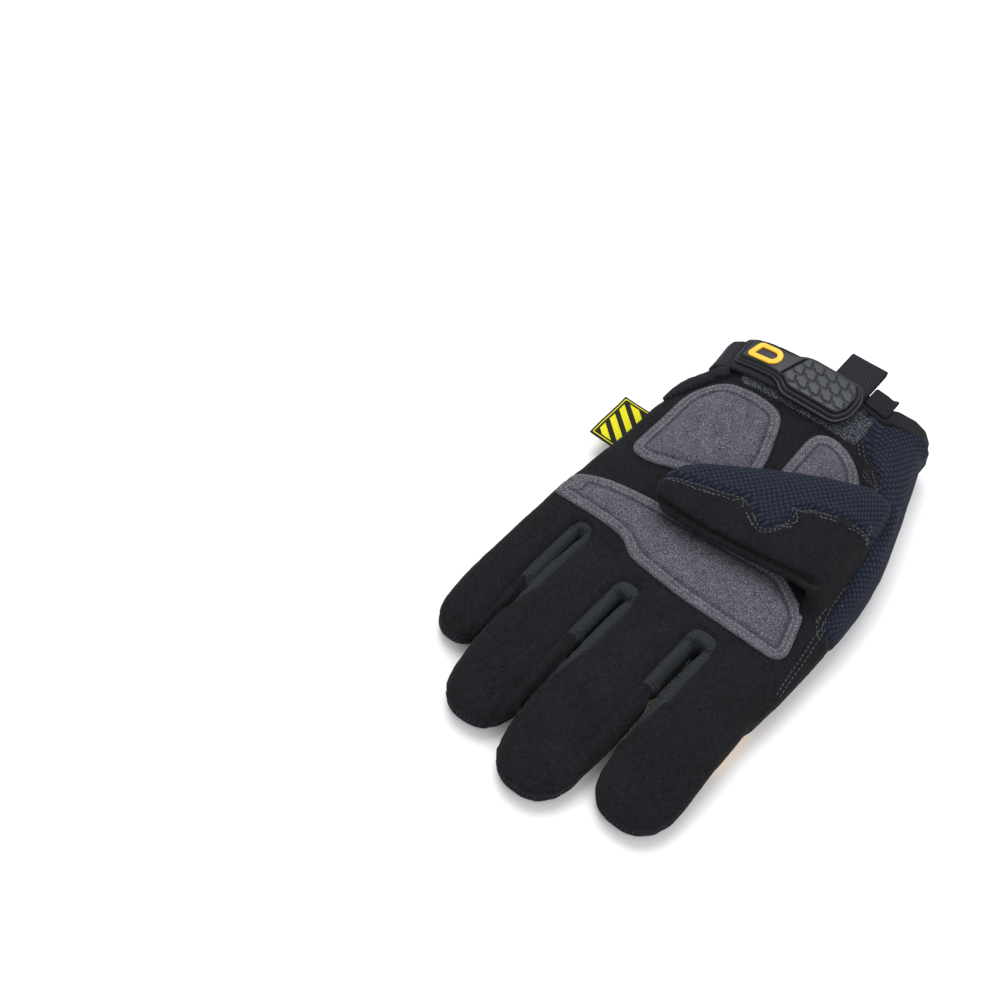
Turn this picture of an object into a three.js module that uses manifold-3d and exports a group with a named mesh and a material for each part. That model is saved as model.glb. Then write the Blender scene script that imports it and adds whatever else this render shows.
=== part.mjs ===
// A left-hand impact work glove, lying palm up on its back with the thumb folded over the palm.
// Millimetres. X runs to the thumb side, Y from the fingers to the cuff, Z up from the floor.
// While it is being modelled, x = 0 is close to the middle finger's axis and y = 0 is the line of the
// finger crotches. The finished group is then moved so that its origin is under the glove's middle.
import * as THREE from "three";
import { mergeVertices } from "three/addons/utils/BufferGeometryUtils.js";
import Module from "manifold-3d";

const wasm = await Module();
wasm.setup();

// Driving sizes of the hand
const HAND_LENGTH = 125.5; // from the crotch line to the end of the cuff
const PALM_WIDTH = 112; // across the knuckles
const HAND_HEIGHT = 17.4; // of the lying hand at the heel of the palm
const FINGER_HEIGHT = 14.6;
const WALL = 1.6; // fabric or leather with its lining
const SEAM_GAP = 0.3; // between two pieces that are sewn together
const SEAT_GAP = 0.3; // between a piece and what it is sewn onto

// One row for each finger: its axis at the root, its width, its length from the crotch line to the tip, how
// far its root lies inside the palm, and how far its tip leans to the thumb side.
const FINGERS = {
  index: { axis: 32.4, width: 29.8, length: 71, root: 20, splay: -1.8 },
  middle: { axis: -0.5, width: 30.6, length: 82, root: 20, splay: -2.5 },
  ring: { axis: -31.6, width: 28, length: 72, root: 20, splay: -2.4 },
  little: { axis: -56.9, width: 20.2, length: 49.5, root: 26, splay: -1.6 },
};
const RING_CROTCH = 11; // how much nearer the cuff the crotch of the ring and little fingers lies
const FINGER_SEAM = { right: 0.72, left: 0.78 }; // shares of half a finger's width, for the seams on its top

// Thumb
const THUMB_LENGTH = 70; // from the fold at its root to its tip
const THUMB_WIDTH = 50; // at the root
const THUMB_THICKNESS = 10;
const THUMB_CLEARANCE = 0.8; // over the pads that it lies on

// Pieces that are sewn on
const PAD_THICKNESS = 2.3;
const PAD_ROUNDING = { knuckle_pad: 2.4, heel_pad: 5, thenar_pad: 5 };
const CORNER_ROUNDING = 1.5; // of the loop field, the vent roll and the cuff flap
const LOOP_FIELD_THICKNESS = 1;
const STRAP_THICKNESS = 1.6;
const TAB_FLANGE = 1.4;
const TAB_RISE = 1.9; // of the tab's raised middle over its flange
const TAB_RIM = 1.7; // width of the flange round the raised middle
const TAB_ROUNDING = 2.5;
const BADGE_RISE = 0.8;
const BADGE_BAND = 1.6;
const BADGE_ROUNDING = 2.5;
const GUARD_THICKNESS = 3;
const GUARD_ROUNDING = 6;
const FINGER_GUARD_ROUNDING = 4;
const BINDING_WIDTH = 7.5;
const BINDING_PROUD = 0.8;
const ROLL_THICKNESS = 2.2;
const WEBBING_THICKNESS = 0.85;
const WEBBING_SLOT = 0.4; // between the two plies of the pull loop
const LOOP_REACH = 12.2; // of the pull loop past the cuff
const FLAP_REACH = 4;
const LABEL = { reach: 13.5, length: 23, thickness: 0.9 };

const STANDOFF = GUARD_THICKNESS + SEAT_GAP; // of the back of the hand over the floor
const SIDES = { palm: 24, finger: 12, thumb: 16, gusset: 12 };
const FAR = 200; // further out than any part of the glove
const OVERCUT = 1; // how far a cut runs on past what it cuts
const SINK = 0.1; // how far two fused bodies reach into each other

// Rings of points, lofts and booleans

// Points around an oval of half sizes a and b whose corners fill out with squareness; 2 is an ellipse.
function oval(count, a, b, squareness) {
  return Array.from({ length: count }, (_, i) => {
    const turn = (2 * Math.PI * (i + 0.5)) / count;
    const power = (v) => Math.sign(v) * Math.abs(v) ** (2 / squareness);
    return [a * power(Math.cos(turn)), b * power(Math.sin(turn))];
  });
}

// A closed body through rings of points, each ring as many points as the last.
function loft(rings) {
  const count = rings[0].length;
  const points = rings.flat();
  const faces = [];
  for (let r = 0; r + 1 < rings.length; r++)
    for (let i = 0; i < count; i++) {
      const [a, b] = [r * count + i, r * count + ((i + 1) % count)];
      faces.push(a, b, b + count, a, b + count, a + count);
    }
  for (const [ring, turned] of [[0, true], [rings.length - 1, false]]) {
    const middle = rings[ring].reduce((sum, p) => sum.add(p), new THREE.Vector3()).divideScalar(count);
    const hub = points.push(middle) - 1;
    for (let i = 0; i < count; i++) {
      const [a, b] = [ring * count + i, ring * count + ((i + 1) % count)];
      faces.push(...(turned ? [b, a, hub] : [a, b, hub]));
    }
  }
  const geometry = new THREE.BufferGeometry().setFromPoints(points);
  geometry.setIndex(faces);
  return solidOf(geometry);
}

function solidOf(geometry) {
  const bare = geometry.clone();
  bare.deleteAttribute("normal");
  bare.deleteAttribute("uv");
  const merged = mergeVertices(bare, 1e-4);
  const vertProperties = new Float32Array(merged.attributes.position.array);
  const triVerts = new Uint32Array(merged.index.array);
  const build = () => new wasm.Manifold(new wasm.Mesh({ numProp: 3, vertProperties, triVerts }));
  const solid = build();
  if (solid.volume() >= 0) return solid;
  for (let i = 0; i < triVerts.length; i += 3) {
    const first = triVerts[i];
    triVerts[i] = triVerts[i + 1];
    triVerts[i + 1] = first;
  }
  return build();
}

function geometryOf(solid) {
  const { numProp, numVert, vertProperties, triVerts } = solid.getMesh();
  const points = Array.from(
    { length: numVert },
    (_, i) => new THREE.Vector3(...vertProperties.subarray(i * numProp, i * numProp + 3)),
  );
  const geometry = new THREE.BufferGeometry().setFromPoints(points);
  geometry.setIndex([...triVerts]);
  const flat = geometry.toNonIndexed();
  flat.computeVertexNormals();
  return flat;
}

const union = (...solids) => solids.flat().reduce((a, b) => a.add(b));

// The bodies that a cut leaves, the largest first.
const bodiesOf = (solid) => solid.decompose().sort((a, b) => b.volume() - a.volume());

// An outline of [x, y] corners, each rounded by the radius, or by its own third value, as far as its sides
// allow.
function outline(corners, radius = 0) {
  const shape = new THREE.Shape();
  const at = (i) => new THREE.Vector2(...corners[(i + corners.length) % corners.length]);
  corners.forEach((corner, i) => {
    const rounding = corner[2] ?? radius;
    const [before, here, after] = [at(i - 1), at(i), at(i + 1)];
    const towards = (to) => here.clone().lerp(to, Math.min(rounding / here.distanceTo(to), 0.45));
    const [start, end] = [towards(before), towards(after)];
    if (i === 0) shape.moveTo(start.x, start.y);
    else shape.lineTo(start.x, start.y);
    if (rounding) shape.quadraticCurveTo(here.x, here.y, end.x, end.y);
  });
  shape.closePath();
  return shape;
}

const rectangle = (left, right, near, far) => [[left, near], [right, near], [right, far], [left, far]];

// An outline drawn in plan and extruded up from one height to another.
function planPrism(shape, low, high) {
  const geometry = new THREE.ExtrudeGeometry(shape, {
    depth: high - low,
    bevelEnabled: false,
    curveSegments: 3,
  });
  geometry.translate(0, 0, low);
  return solidOf(geometry);
}

// An outline of [y, z] corners extruded across the glove from one x to another.
function sidePrism(corners, left, right) {
  const geometry = new THREE.ExtrudeGeometry(outline(corners), { depth: right - left, bevelEnabled: false });
  geometry.rotateZ(Math.PI / 2);
  geometry.rotateY(Math.PI / 2);
  geometry.translate(left, 0, 0);
  return solidOf(geometry);
}

// The hand: every body below is made again a little larger or smaller by grow, for walls and seats

// Sections from the crotch line to the cuff. at is a share of HAND_LENGTH, left and right are shares of
// PALM_WIDTH from x = 0, and top is a share of HAND_HEIGHT over the back of the hand.
const PALM_SECTIONS = [
  { at: -0.02, left: -0.392, right: 0.392, top: 0.8, square: 3.2 },
  { at: RING_CROTCH / HAND_LENGTH - 0.004, left: -0.396, right: 0.4, top: 0.84, square: 3.2 },
  { at: RING_CROTCH / HAND_LENGTH + 0.016, left: -0.594, right: 0.41, top: 0.86, square: 3.2 },
  { at: 0.2, left: -0.592, right: 0.41, top: 0.9, square: 3.2 },
  { at: 0.3, left: -0.58, right: 0.39, top: 0.93, square: 3.2 },
  { at: 0.45, left: -0.56, right: 0.35, top: 0.96, square: 3.1 },
  { at: 0.6, left: -0.55, right: 0.3, top: 1.0, square: 3.0 },
  { at: 0.71, left: -0.525, right: 0.25, top: 1.06, square: 2.9 },
  { at: 0.79, left: -0.47, right: 0.22, top: 1.14, square: 2.8 },
  { at: 0.86, left: -0.468, right: 0.2, top: 1.22, square: 2.7 },
  { at: 0.94, left: -0.475, right: 0.18, top: 1.26, square: 2.7 },
  { at: 1.0, left: -0.46, right: 0.17, top: 1.24, square: 2.7 },
];
const DISTAL_ROWS = 3; // the sections that move along the glove, not only outwards, as the body grows

// Sections with one more past the last, so that a body can run on beyond the cuff.
function runOn(rows, past) {
  const end = rows[rows.length - 1];
  return past ? [...rows, { ...end, y: end.y + past }] : rows;
}

function palmBody(grow, past) {
  const rows = PALM_SECTIONS.map((row, i) => ({
    ...row,
    y: row.at * HAND_LENGTH - (i < DISTAL_ROWS ? grow : 0),
  }));
  return loft(
    runOn(rows, past).map((row) => {
      const [left, right] = [row.left * PALM_WIDTH - grow, row.right * PALM_WIDTH + grow];
      const [low, high] = [STANDOFF - grow, STANDOFF + row.top * HAND_HEIGHT + grow];
      return oval(SIDES.palm, (right - left) / 2, (high - low) / 2, row.square).map(
        ([x, z]) => new THREE.Vector3((left + right) / 2 + x, row.y, (low + high) / 2 + z),
      );
    }),
  );
}

// Sections from a finger's root to its tip. width and height are shares of the finger's, and lift is how
// much of STANDOFF its back keeps over the floor.
const FINGER_SECTIONS = [
  { at: 0, width: 0.94, height: 0.9, lift: 1.1 },
  { at: 0.24, width: 0.97, height: 0.97, lift: 1 },
  { at: 0.4, width: 0.98, height: 1, lift: 1 },
  { at: 0.62, width: 1, height: 0.98, lift: 1 },
  { at: 0.8, width: 1.02, height: 0.95, lift: 0.3 },
  { at: 0.88, width: 0.98, height: 0.9, lift: 0.12 },
  { at: 0.94, width: 0.85, height: 0.79, lift: 0.25 },
  { at: 0.98, width: 0.61, height: 0.58, lift: 0.6 },
  { at: 1, width: 0.32, height: 0.33, lift: 1.05 },
];
const FINGER_SQUARENESS = 2.9;

function fingerBody({ axis, width, length, root, splay }, grow) {
  const run = root + length + grow;
  return loft(
    FINGER_SECTIONS.map((row) => {
      const low = row.lift * STANDOFF;
      const high = low + row.height * FINGER_HEIGHT;
      const half = (row.width * width) / 2 + grow;
      return oval(SIDES.finger, half, (high - low) / 2 + grow, FINGER_SQUARENESS).map(
        ([x, z]) => new THREE.Vector3(axis + row.at * splay + x, root - row.at * run, (low + high) / 2 + z),
      );
    }),
  );
}

// The puffed fold of knit fabric along the thumb side, from the cuff to the index finger. x is a share of
// PALM_WIDTH, and half and rise are shares of HAND_HEIGHT.
const GUSSET_SECTIONS = [
  { at: -0.13, x: 0.36, half: 0.36, rise: 0.72 },
  { at: 0, x: 0.368, half: 0.42, rise: 0.78 },
  { at: 0.14, x: 0.374, half: 0.45, rise: 0.84 },
  { at: 0.26, x: 0.377, half: 0.49, rise: 0.94 },
  { at: 0.37, x: 0.372, half: 0.52, rise: 1.04 },
  { at: 0.5, x: 0.352, half: 0.56, rise: 1.2 },
  { at: 0.64, x: 0.305, half: 0.6, rise: 1.3 },
  { at: 0.76, x: 0.262, half: 0.62, rise: 1.3 },
  { at: 0.88, x: 0.222, half: 0.62, rise: 1.26 },
  { at: 1.0, x: 0.178, half: 0.62, rise: 1.22 },
];
const GUSSET_SQUARENESS = 2.4;

function gussetBody(grow, past) {
  const rows = GUSSET_SECTIONS.map((row, i) => ({ ...row, y: row.at * HAND_LENGTH - (i ? 0 : grow) }));
  return loft(
    runOn(rows, past).map((row) => {
      const half = row.half * HAND_HEIGHT + grow;
      const middle = STANDOFF + (row.rise * HAND_HEIGHT) / 2;
      return oval(SIDES.gusset, half, middle - STANDOFF + grow, GUSSET_SQUARENESS).map(
        ([x, z]) => new THREE.Vector3(row.x * PALM_WIDTH + x, row.y, middle + z),
      );
    }),
  );
}

const handBody = (grow, past = 0) =>
  union(
    palmBody(grow, past),
    gussetBody(grow, past),
    Object.values(FINGERS).map((finger) => fingerBody(finger, grow)),
  );

// The thumb leaves the palm to the right, folds up and lies back to the left over the pads.
const THUMB_ROOT_Y = 0.45 * HAND_LENGTH;
const THUMB_FOLD_X = 0.265 * PALM_WIDTH;
const THUMB_LOW = STANDOFF + 0.46 * HAND_HEIGHT;
const THUMB_UNDER = STANDOFF + HAND_HEIGHT + SEAT_GAP + PAD_THICKNESS + THUMB_CLEARANCE;
const THUMB_HIGH = THUMB_UNDER + THUMB_THICKNESS / 2;
const THUMB_TURN = (THUMB_HIGH - THUMB_LOW) / 2; // radius of the fold
const THUMB_SLANT = 0.27; // how far it slopes to the fingers for each millimetre that it goes left
const THUMB_SQUARENESS = 2.5;

// Sections along the thumb. turn is how many quarter turns of the fold are done, or along is the share of
// the straight part; near and far are shares of half the width, towards the fingers and the cuff.
const THUMB_SECTIONS = [
  { turn: -0.6, near: 0.86, far: 0.86, thick: 0.92 },
  { turn: 0, near: 1.0, far: 0.92, thick: 1 },
  { turn: 0.5, near: 1.14, far: 1.0, thick: 1 },
  { turn: 1, near: 1.14, far: 1.06, thick: 1 },
  { turn: 1.5, near: 1.02, far: 1.1, thick: 1 },
  { turn: 2, near: 0.93, far: 1.08, thick: 1 },
  { along: 0.25, near: 0.84, far: 0.98, thick: 1.02 },
  { along: 0.5, near: 0.74, far: 0.82, thick: 1.0 },
  { along: 0.75, near: 0.6, far: 0.6, thick: 0.96 },
  { along: 0.88, near: 0.49, far: 0.45, thick: 0.9 },
  { along: 0.95, near: 0.39, far: 0.33, thick: 0.76 },
  { along: 0.985, near: 0.26, far: 0.18, thick: 0.52 },
  { along: 1, near: 0.13, far: 0.09, thick: 0.26 },
];

function thumbBody(grow) {
  return loft(
    THUMB_SECTIONS.map((row) => {
      const angle = (THREE.MathUtils.clamp(row.turn ?? 2, 0, 2) * Math.PI) / 2;
      const before = Math.max(0, -(row.turn ?? 0)) * THUMB_TURN;
      const left = (row.along ?? 0) * (THUMB_LENGTH - THUMB_TURN + grow);
      const middle = new THREE.Vector3(
        THUMB_FOLD_X + Math.sin(angle) * THUMB_TURN - before - left,
        THUMB_ROOT_Y - THUMB_SLANT * left,
        THUMB_LOW + THUMB_TURN * (1 - Math.cos(angle)),
      );
      const outwards = new THREE.Vector3(Math.sin(angle), 0, -Math.cos(angle));
      const across = new THREE.Vector3(0, 1, 0);
      const half = (row.thick * THUMB_THICKNESS) / 2 + grow;
      return oval(SIDES.thumb, 1, half, THUMB_SQUARENESS).map(([share, out]) => {
        const side = share > 0 ? row.far : row.near;
        const wide = share * ((side * THUMB_WIDTH) / 2 + grow);
        return middle.clone().addScaledVector(across, wide).addScaledVector(outwards, out);
      });
    }),
  );
}

// The shell, hollow from the cuff to the tips
const PAST_CUFF = 4;
const cavity = union(handBody(-WALL, PAST_CUFF), thumbBody(-WALL));
const shell = union(handBody(0), thumbBody(0)).subtract(cavity);

// The thumb is sewn to the hand where it leaves it.
const roomyThumb = thumbBody(OVERCUT);
const thumbShell = shell.intersect(roomyThumb.subtract(handBody(SEAM_GAP / 2)));
const handShell = shell.subtract(roomyThumb.subtract(handBody(-SEAM_GAP / 2)));

// Zones that cut the shell into its panels

const SIDE_SEAM = 0.32; // share of the hand's height at which palm and back meet on the outer edges
const TIP_SEAM = 0.4; // the same at the fingertips, as a share of the finger's height
const SEAM_BEND = { from: 0.4, to: 0.75 }; // where it changes from one to the other, as shares of the longest
const longest = Math.max(...Object.values(FINGERS).map((finger) => finger.length));

// What lies over the seam between the palm side and the back, less or more by shift.
function overSeam(shift) {
  const side = STANDOFF + SIDE_SEAM * HAND_HEIGHT + shift;
  const tip = TIP_SEAM * FINGER_HEIGHT + shift;
  return sidePrism(
    [
      [-longest - FAR, tip],
      [-SEAM_BEND.to * longest, tip],
      [-SEAM_BEND.from * longest, side],
      [HAND_LENGTH + FAR, side],
      [HAND_LENGTH + FAR, FAR],
      [-longest - FAR, FAR],
    ],
    -FAR,
    FAR,
  );
}

// Corners as shares of PALM_WIDTH across and HAND_LENGTH along; round is a corner's own rounding.
const inPlan = (corners) =>
  corners.map(({ x, at, round }) => [x * PALM_WIDTH, at * HAND_LENGTH, round].slice(0, round ? 3 : 2));

// The knit side wall: its inner edge in plan runs from the cuff down to the index finger.
const GUSSET_EDGE = [
  { x: 0.035, at: 1.1 },
  { x: 0.075, at: 0.9 },
  { x: 0.17, at: 0.8 },
  { x: 0.28, at: 0.7 },
  { x: 0.34, at: 0.56 },
  { x: 0.39, at: 0.4 },
  { x: 0.41, at: 0.22 },
];
const GUSSET_FLOOR = 0.14; // share of the hand's height where the knit meets the back

function gussetZone(grow) {
  const edge = inPlan(GUSSET_EDGE).map(([x, y]) => [x - grow, y]);
  const [cuffEnd, indexEnd] = [edge[0], edge[edge.length - 1]];
  indexEnd[1] -= grow;
  const low = STANDOFF + GUSSET_FLOOR * HAND_HEIGHT - grow;
  return planPrism(outline([...edge, [FAR, indexEnd[1]], [FAR, cuffEnd[1]]]), low, FAR);
}

// The side walls of two neighbouring fingers: knit from the web at the crotch, then suede to the tips. On the
// second finger the knit tapers off along the wall.
const BAND_FLOOR = 0.16; // share of the finger's height where the side walls meet the back
const WEB_REACH = 2.2; // of the knit past the crotch line, over the palm
const WEB_ROUNDING = 4;
const KNIT_SHARE = 0.38; // of the shorter finger, from the crotch
const TAPER_SHARE = 0.7; // the same to the end of the taper
const TAPER_REACH = 1.03; // of the tapered end, as a share of the finger's half width
const TIP_SHARE = 1.05; // past the end of the longer finger

const axisAt = ({ axis, splay, root, length }, y) => axis + (splay * (root - y)) / (root + length);
const seamRight = (finger, y) => axisAt(finger, y) + (FINGER_SEAM.right * finger.width) / 2;
const seamLeft = (finger, y, share = FINGER_SEAM.left) => axisAt(finger, y) - (share * finger.width) / 2;
const between = ({ first, second }, y) =>
  (axisAt(first, y) + first.width / 2 + axisAt(second, y) - second.width / 2) / 2;

function wallPrism(corners, grow) {
  return planPrism(outline(corners), STANDOFF + BAND_FLOOR * FINGER_HEIGHT - grow, FAR);
}

function wallZone({ first, second }, from, to, grow) {
  return wallPrism(
    [
      [seamRight(first, from) - grow, from - grow],
      [seamLeft(second, from) + grow, from - grow],
      [seamLeft(second, to) + grow, to + grow],
      [seamRight(first, to) - grow, to + grow],
    ],
    grow,
  );
}

const FINGER_GAPS = [
  { name: "index_middle", first: FINGERS.middle, second: FINGERS.index, crotch: 0 },
  { name: "middle_ring", first: FINGERS.ring, second: FINGERS.middle, crotch: 0 },
  { name: "ring_little", first: FINGERS.little, second: FINGERS.ring, crotch: RING_CROTCH },
].map((gap) => {
  const shorter = Math.min(gap.first.length, gap.second.length);
  const longer = Math.max(gap.first.length, gap.second.length);
  const [knitEnd, taperEnd] = [-KNIT_SHARE * shorter, -TAPER_SHARE * shorter];
  return { ...gap, web: gap.crotch + WEB_REACH, knitEnd, taperEnd, tipEnd: -TIP_SHARE * longer };
});

function knitZone(gap, grow) {
  const { first, second, web, knitEnd, taperEnd } = gap;
  return wallPrism(
    [
      [seamRight(first, web) - grow, web + grow, WEB_ROUNDING],
      [seamRight(first, knitEnd) - grow, knitEnd - grow],
      [between(gap, knitEnd), knitEnd - grow],
      [between(gap, taperEnd), taperEnd - grow],
      [seamLeft(second, taperEnd, TAPER_REACH) + grow, taperEnd - grow],
      [seamLeft(second, knitEnd) + grow, knitEnd],
      [seamLeft(second, web) + grow, web + grow, WEB_ROUNDING],
    ],
    grow,
  );
}
const suedeZone = (gap) =>
  wallZone(gap, gap.tipEnd, gap.knitEnd, 0).subtract(knitZone(gap, SEAM_GAP));

// The shell short of the bound edge of the cuff
const cuffStart = HAND_LENGTH - BINDING_WIDTH;
const cuffSlab = (from, to) => planPrism(outline(rectangle(-FAR, FAR, from, to)), -FAR, FAR);
const unbound = handShell.subtract(cuffSlab(cuffStart - SEAM_GAP, HAND_LENGTH + FAR));
const sideZones = union(
  gussetZone(SEAM_GAP),
  FINGER_GAPS.map((gap) => wallZone(gap, gap.tipEnd, gap.knitEnd, SEAM_GAP)),
  FINGER_GAPS.map((gap) => knitZone(gap, SEAM_GAP)),
);

// The materials and the list of finished pieces
const MATERIALS = {
  suede: { color: "#1d1d1f", roughness: 0.95, metalness: 0 },
  back_knit: { color: "#202225", roughness: 0.9, metalness: 0 },
  fourchette: { color: "#2c3036", roughness: 0.9, metalness: 0 },
  navy_knit: { color: "#1b2030", roughness: 0.9, metalness: 0 },
  grey_pad: { color: "#56545a", roughness: 1, metalness: 0 },
  binding: { color: "#19191b", roughness: 0.85, metalness: 0 },
  loop_field: { color: "#191a1e", roughness: 1, metalness: 0 },
  webbing: { color: "#1c1e23", roughness: 0.8, metalness: 0 },
  rubber: { color: "#24262b", roughness: 0.55, metalness: 0 },
  yellow_rubber: { color: "#e9a51f", roughness: 0.5, metalness: 0 },
  label: { color: "#d9d61e", roughness: 0.8, metalness: 0 },
};
const glove = new THREE.Group();
function add(name, solid, material) {
  const finish = new THREE.MeshStandardMaterial(MATERIALS[material]);
  const mesh = new THREE.Mesh(geometryOf(bodiesOf(solid)[0]), finish);
  mesh.name = name;
  glove.add(mesh);
}

// Panels of the hand. Those of the fingers are joined to those of the hand under the knuckle pad, where the
// seam doesn't show.
const KNUCKLE_SEAM = 0.185; // share of HAND_LENGTH from the crotch line
const knuckleSeam = KNUCKLE_SEAM * HAND_LENGTH;
const palmSide = unbound.intersect(overSeam(SEAM_GAP / 2)).subtract(sideZones);
const backSide = unbound.subtract(overSeam(-SEAM_GAP / 2)).subtract(sideZones);
const handPart = cuffSlab(knuckleSeam + SEAM_GAP / 2, HAND_LENGTH);
const fingerPart = cuffSlab(-FAR, knuckleSeam - SEAM_GAP / 2);
add("palm_panel", palmSide.intersect(handPart), "suede");
add("finger_panel", palmSide.intersect(fingerPart), "suede");
add("back_panel", backSide.intersect(handPart), "back_knit");
add("finger_back", backSide.intersect(fingerPart), "back_knit");
add("side_gusset", unbound.intersect(gussetZone(0)), "navy_knit");
for (const gap of FINGER_GAPS) {
  add(`fourchette_${gap.name}`, unbound.intersect(knitZone(gap, 0)), "fourchette");
  const walls = bodiesOf(unbound.intersect(suedeZone(gap))).slice(0, 2);
  walls.sort((a, b) => a.boundingBox().min[0] - b.boundingBox().min[0]);
  const [left, right] = walls;
  add(`side_wall_${gap.name}_left`, left, "suede");
  add(`side_wall_${gap.name}_right`, right, "suede");
}

// The thumb's suede and knit meet along a notched seam. along is a share of THUMB_LENGTH from the fold to
// the tip, and across a share of half THUMB_WIDTH from its middle towards the cuff.
const THUMB_SEAM = [
  { along: -0.6, across: 0.3 },
  { along: -0.09, across: 0.32 },
  { along: 0.03, across: 0.235 },
  { along: 0.16, across: 0.21 },
  { along: 0.21, across: 0.1 },
  { along: 0.225, across: -0.3 },
  { along: 0.29, across: -0.4 },
  { along: 0.37, across: -0.19 },
  { along: 0.455, across: 0.02 },
  { along: 0.55, across: 0 },
  { along: 0.84, across: -0.02 },
  { along: 1.3, across: -0.3 },
];
function seamLine(shift) {
  return THUMB_SEAM.map(({ along, across }) => [
    THUMB_FOLD_X - along * THUMB_LENGTH,
    THUMB_ROOT_Y - THUMB_SLANT * Math.max(0, along) * THUMB_LENGTH + (across * THUMB_WIDTH) / 2 + shift,
  ]);
}
const nearThumb = planPrism(outline([...seamLine(-SEAM_GAP / 2), [-FAR, -FAR], [FAR, -FAR]]), -FAR, FAR);
const farThumb = planPrism(outline([...seamLine(SEAM_GAP / 2), [-FAR, FAR], [FAR, FAR]]), -FAR, FAR);
add("thumb_suede", thumbShell.intersect(nearThumb), "suede");
add("thumb_knit", thumbShell.intersect(farThumb), "navy_knit");

// Pieces that follow the hand's surface: an outline in plan, between two distances from the hand
const MID_HEIGHT = STANDOFF + HAND_HEIGHT / 2;
const reachPast = Math.max(LOOP_REACH, FLAP_REACH) + PAST_CUFF;
const layer = (from, to) => handBody(to, reachPast).subtract(handBody(from, reachPast + OVERCUT));
const onPalm = (corners, radius, from, to) =>
  planPrism(outline(corners, radius), MID_HEIGHT, FAR).intersect(layer(from, to));

const PADS = {
  knuckle_pad: [
    { x: -0.585, at: 0.142 },
    { x: -0.582, at: 0.24 },
    { x: -0.45, at: 0.272, round: 5 },
    { x: -0.28, at: 0.285, round: 5 },
    { x: 0.2, at: 0.305 },
    { x: 0.335, at: 0.23 },
    { x: 0.378, at: 0.085 },
    { x: 0.355, at: 0.055 },
    { x: 0, at: 0.06, round: 5 },
    { x: -0.14, at: 0.073, round: 5 },
    { x: -0.225, at: 0.084 },
    { x: -0.275, at: 0.122 },
    { x: -0.37, at: 0.133, round: 5 },
  ],
  heel_pad: [
    { x: -0.49, at: 0.4 },
    { x: -0.4, at: 0.39 },
    { x: -0.17, at: 0.46 },
    { x: -0.08, at: 0.5 },
    { x: -0.085, at: 0.6 },
    { x: -0.15, at: 0.775 },
    { x: -0.26, at: 0.795 },
    { x: -0.4, at: 0.785 },
    { x: -0.47, at: 0.7 },
  ],
  thenar_pad: [
    { x: -0.03, at: 0.5 },
    { x: -0.032, at: 0.765 },
    { x: 0.02, at: 0.795 },
    { x: 0.1, at: 0.785 },
    { x: 0.18, at: 0.74 },
    { x: 0.235, at: 0.64 },
    { x: 0.24, at: 0.5 },
    { x: 0.1, at: 0.44 },
  ],
};
for (const [name, corners] of Object.entries(PADS)) {
  const pad = onPalm(inPlan(corners), PAD_ROUNDING[name], SEAT_GAP, SEAT_GAP + PAD_THICKNESS);
  add(name, pad.subtract(thumbBody(SEAT_GAP)), "grey_pad");
}

// Wrist closure: a loop field on the palm side, and a strap from the back round the little finger's side
const STRAP = { left: -0.8, under: -0.3, right: 0.01, near: 0.83, far: 0.95 };
const LOOP_FIELD = { left: -0.36, right: 0.105, near: 0.81, far: 0.925 };
const shareRectangle = ({ left, right, near, far }) =>
  rectangle(left * PALM_WIDTH, right * PALM_WIDTH, near * HAND_LENGTH, far * HAND_LENGTH);
const fieldTop = SEAT_GAP + LOOP_FIELD_THICKNESS;
add("loop_field", onPalm(shareRectangle(LOOP_FIELD), CORNER_ROUNDING, SEAT_GAP, fieldTop), "loop_field");

const strapFloor = fieldTop + SEAT_GAP;
const strapTop = strapFloor + STRAP_THICKNESS;
const strapOver = planPrism(outline(shareRectangle(STRAP)), MID_HEIGHT, FAR);
const strapUnder = planPrism(outline(shareRectangle({ ...STRAP, right: STRAP.under })), -FAR, MID_HEIGHT);
add("closure_strap", union(strapOver, strapUnder).intersect(layer(strapFloor, strapTop)), "webbing");

// The moulded tab on the strap's end: a flange, and a raised middle that leaves a rim round it
const TAB_CORNERS = [
  { x: -0.42, at: 0.85 },
  { x: -0.25, at: 0.85 },
  { x: -0.2, at: 0.812 },
  { x: 0.01, at: 0.812 },
  { x: 0.045, at: 0.86 },
  { x: 0.045, at: 0.93 },
  { x: 0.01, at: 0.985 },
  { x: -0.2, at: 0.985 },
  { x: -0.25, at: 0.958 },
  { x: -0.42, at: 0.958 },
];
const tabFloor = strapTop + SEAT_GAP;
const flangeTop = tabFloor + TAB_FLANGE;
const tabTop = flangeTop + TAB_RISE;
const tabPlan = inPlan(TAB_CORNERS);
const tabMiddle = [0, 1].map((k) => {
  const values = tabPlan.map((corner) => corner[k]);
  return (Math.min(...values) + Math.max(...values)) / 2;
});
const tabInner = tabPlan.map((corner) =>
  corner.map((value, k) => value - Math.sign(value - tabMiddle[k]) * TAB_RIM),
);
const tabFlange = onPalm(tabPlan, TAB_ROUNDING, tabFloor, flangeTop);
const tabRaised = onPalm(tabInner, TAB_ROUNDING, flangeTop - SINK, tabTop);
add("pull_tab", union(tabFlange, tabRaised), "rubber");

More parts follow.
